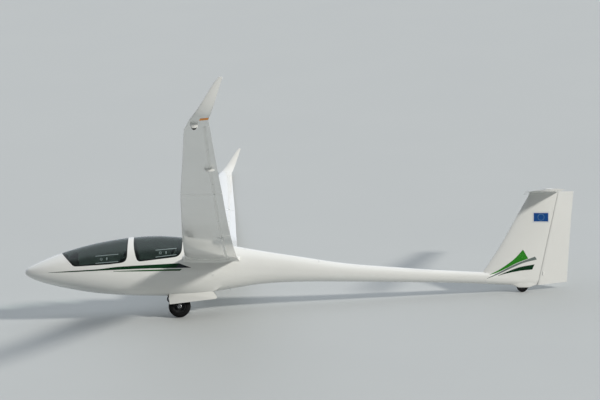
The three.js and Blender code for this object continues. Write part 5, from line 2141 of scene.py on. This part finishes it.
def make_floor():
    deselect()
    bpy.ops.mesh.primitive_plane_add(size=1200)
    floor = named("floor")
    material = grained("pale_floor", tuple(paints().floor), (0.7, 0.85), 0.4, 5.0, 0.001, 0.97)
    floor.data.materials.append(material)


def make_sun():
    """The main light, from behind on the left and from above."""
    bpy.ops.object.light_add(type="SUN")
    sun = bpy.context.object
    sun.name = "main_light"
    sun.data.energy = sizes().sun_strength
    sun.data.angle = math.radians(6)
    sun.data.cycles.use_multiple_importance_sampling = False
    sun.data.color = (1.0, 0.97, 0.92)
    toward = AIRCRAFT.to_3x3() @ Vector((1.87, -1.5, 1.1))
    sun.rotation_mode = "QUATERNION"
    sun.rotation_quaternion = toward.to_track_quat("Z", "Y")


def make_sky():
    """Light from all round, brightest high up and beyond the aircraft, and plain to the camera."""
    world = bpy.data.worlds.new("studio")
    bpy.context.scene.world = world
    world.use_nodes = True
    back = world.node_tree.nodes["Background"]
    back.inputs["Color"].default_value = (0.86, 0.92, 1.0, 1)
    toward_sky = add_node(world, "ShaderNodeTexCoord")
    slope = add_node(world, "ShaderNodeVectorMath")
    slope.operation = "DOT_PRODUCT"
    slope.inputs[1].default_value = (0, 0.65, 0.76)
    connect(world, toward_sky.outputs["Generated"], slope.inputs[0])
    low, high = 0.1 * sizes().sky_strength, sizes().sky_strength
    level = add_node(world, "ShaderNodeMapRange")
    level.interpolation_type = "SMOOTHSTEP"
    for socket, value in {"From Min": 0.15, "From Max": 0.65, "To Min": low, "To Max": high}.items():
        level.inputs[socket].default_value = value
    connect(world, slope.outputs["Value"], level.inputs["Value"])
    seen = add_node(world, "ShaderNodeLightPath")
    strength = add_node(world, "ShaderNodeMix")
    strength.inputs[3].default_value = 0.6
    connect(world, seen.outputs["Is Camera Ray"], strength.inputs[0])
    connect(world, level.outputs["Result"], strength.inputs[2])
    connect(world, strength.outputs[0], back.inputs["Strength"])


def make_camera():
    """The view of the photograph, from 40 m away on the left."""
    bpy.ops.object.camera_add()
    camera = bpy.context.object
    camera.name = "camera"
    camera.data.sensor_width = 36
    camera.data.lens = 150.36
    place = AIRCRAFT @ Vector((3.868, -40, 0.97))
    aim = AIRCRAFT @ Vector((4.379, 0, 1.872))
    back_axis = (place - aim).normalized()
    up = AIRCRAFT.to_3x3() @ Vector((0, 0, 1))
    side_axis = up.cross(back_axis).normalized()
    camera.matrix_world = axes_frame(place, side_axis, back_axis.cross(side_axis), back_axis)
    camera.data.clip_end = 2000
    bpy.context.scene.camera = camera
    bpy.context.scene.view_settings.view_transform = "Standard"


def colour_nodes():
    """Gives the nodes that are shown as they are their finishes."""
    for part in frame["record"]["subparts"]:
        node = frame["nodes"][part["node"]]
        node.data.materials.clear()
        node.data.materials.append(FINISH[SLOTS[part["material_slot"]][0]])


class SAILPLANE_OT_finishes(bpy.types.Operator):
    """Makes the finishes and paints the nodes that stay"""

    bl_idname = "sailplane.finishes"
    bl_label = "Finishes"

    def execute(self, context):
        FINISH.update(make_finishes())
        colour_nodes()
        return {"FINISHED"}


class SAILPLANE_OT_fuselage(bpy.types.Operator):
    """Makes the fuselage with its fin, and the wing root fairings"""

    bl_idname = "sailplane.fuselage"
    bl_label = "Fuselage"

    def execute(self, context):
        make_fuselage()
        for name, side in SIDES:
            root_fairing(side, name)
        return {"FINISHED"}


class SAILPLANE_OT_canopy(bpy.types.Operator):
    """Makes the canopy's moulding, panes, edge bands and sliding windows"""

    bl_idname = "sailplane.canopy"
    bl_label = "Canopy"

    def execute(self, context):
        make_canopy()
        return {"FINISHED"}


class SAILPLANE_OT_wings(bpy.types.Operator):
    """Makes the wings with their flaps, ailerons, winglets and seals"""

    bl_idname = "sailplane.wings"
    bl_label = "Wings"

    def execute(self, context):
        for name, side in SIDES:
            make_wing(side, name)
        make_seals()
        return {"FINISHED"}


class SAILPLANE_OT_tail(bpy.types.Operator):
    """Makes the rudder, tailplane and elevators"""

    bl_idname = "sailplane.tail"
    bl_label = "Tail"

    def execute(self, context):
        make_tail()
        return {"FINISHED"}


class SAILPLANE_OT_films(bpy.types.Operator):
    """Lays the stripes and flashes on the skin"""

    bl_idname = "sailplane.films"
    bl_label = "Stripes"

    def execute(self, context):
        make_films()
        return {"FINISHED"}


class SAILPLANE_OT_cockpit(bpy.types.Operator):
    """Makes the seats with their harness and sticks, the panels, the levers and the pedals"""

    bl_idname = "sailplane.cockpit"
    bl_label = "Cockpit"

    def execute(self, context):
        for name in SEATS:
            make_seat(name)
            make_controls(name)
        make_pod()
        make_rear_panel()
        make_pedals()
        return {"FINISHED"}


class SAILPLANE_OT_gear(bpy.types.Operator):
    """Makes the wheels, the fork with its stays, and the gear doors"""

    bl_idname = "sailplane.gear"
    bl_label = "Landing gear"

    def execute(self, context):
        make_main_wheel()
        make_gear_doors()
        make_tail_wheel()
        for name, side in SIDES:
            make_tip_wheel(side, name)
        return {"FINISHED"}


class SAILPLANE_OT_fittings(bpy.types.Operator):
    """Makes the airbrakes, the engine bay and the small outer fittings"""

    bl_idname = "sailplane.fittings"
    bl_label = "Fittings"

    def execute(self, context):
        for name, side in SIDES:
            make_airbrake(side, name)
            make_wing_fittings(side, name)
        make_engine_doors()
        make_engine()
        make_body_fittings()
        return {"FINISHED"}


class SAILPLANE_OT_stage(bpy.types.Operator):
    """Makes the floor, the lights and the camera"""

    bl_idname = "sailplane.stage"
    bl_label = "Stage"

    def execute(self, context):
        make_floor()
        make_sun()
        make_sky()
        make_camera()
        return {"FINISHED"}


OPERATORS = (
    SAILPLANE_OT_finishes,
    SAILPLANE_OT_stage,
    SAILPLANE_OT_fuselage,
    SAILPLANE_OT_canopy,
    SAILPLANE_OT_wings,
    SAILPLANE_OT_tail,
    SAILPLANE_OT_films,
    SAILPLANE_OT_cockpit,
    SAILPLANE_OT_gear,
    SAILPLANE_OT_fittings,
)


class SAILPLANE_PT_panel(bpy.types.Panel):
    """Lists the sailplane's colours, sizes and steps"""

    bl_label = "Sailplane"
    bl_space_type = "VIEW_3D"
    bl_region_type = "UI"
    bl_category = "Sailplane"

    def draw(self, context):
        for settings in (paints(), sizes()):
            for name in settings.__annotations__:
                self.layout.prop(settings, name)
        for operator in OPERATORS:
            self.layout.operator(operator.bl_idname)


CLASSES = (PaintSettings, BuildSettings, *OPERATORS, SAILPLANE_PT_panel)


def register():
    for cls in CLASSES:
        bpy.utils.register_class(cls)
    bpy.types.Scene.sailplane_paint = PointerProperty(type=PaintSettings)
    bpy.types.Scene.sailplane_build = PointerProperty(type=BuildSettings)


def unregister():
    del bpy.types.Scene.sailplane_paint
    del bpy.types.Scene.sailplane_build
    for cls in reversed(CLASSES):
        bpy.utils.unregister_class(cls)


def main():
    register()
    for operator in OPERATORS:
        group, name = operator.bl_idname.split(".")
        getattr(getattr(bpy.ops, group), name)()


if __name__ == "__main__":
    main()
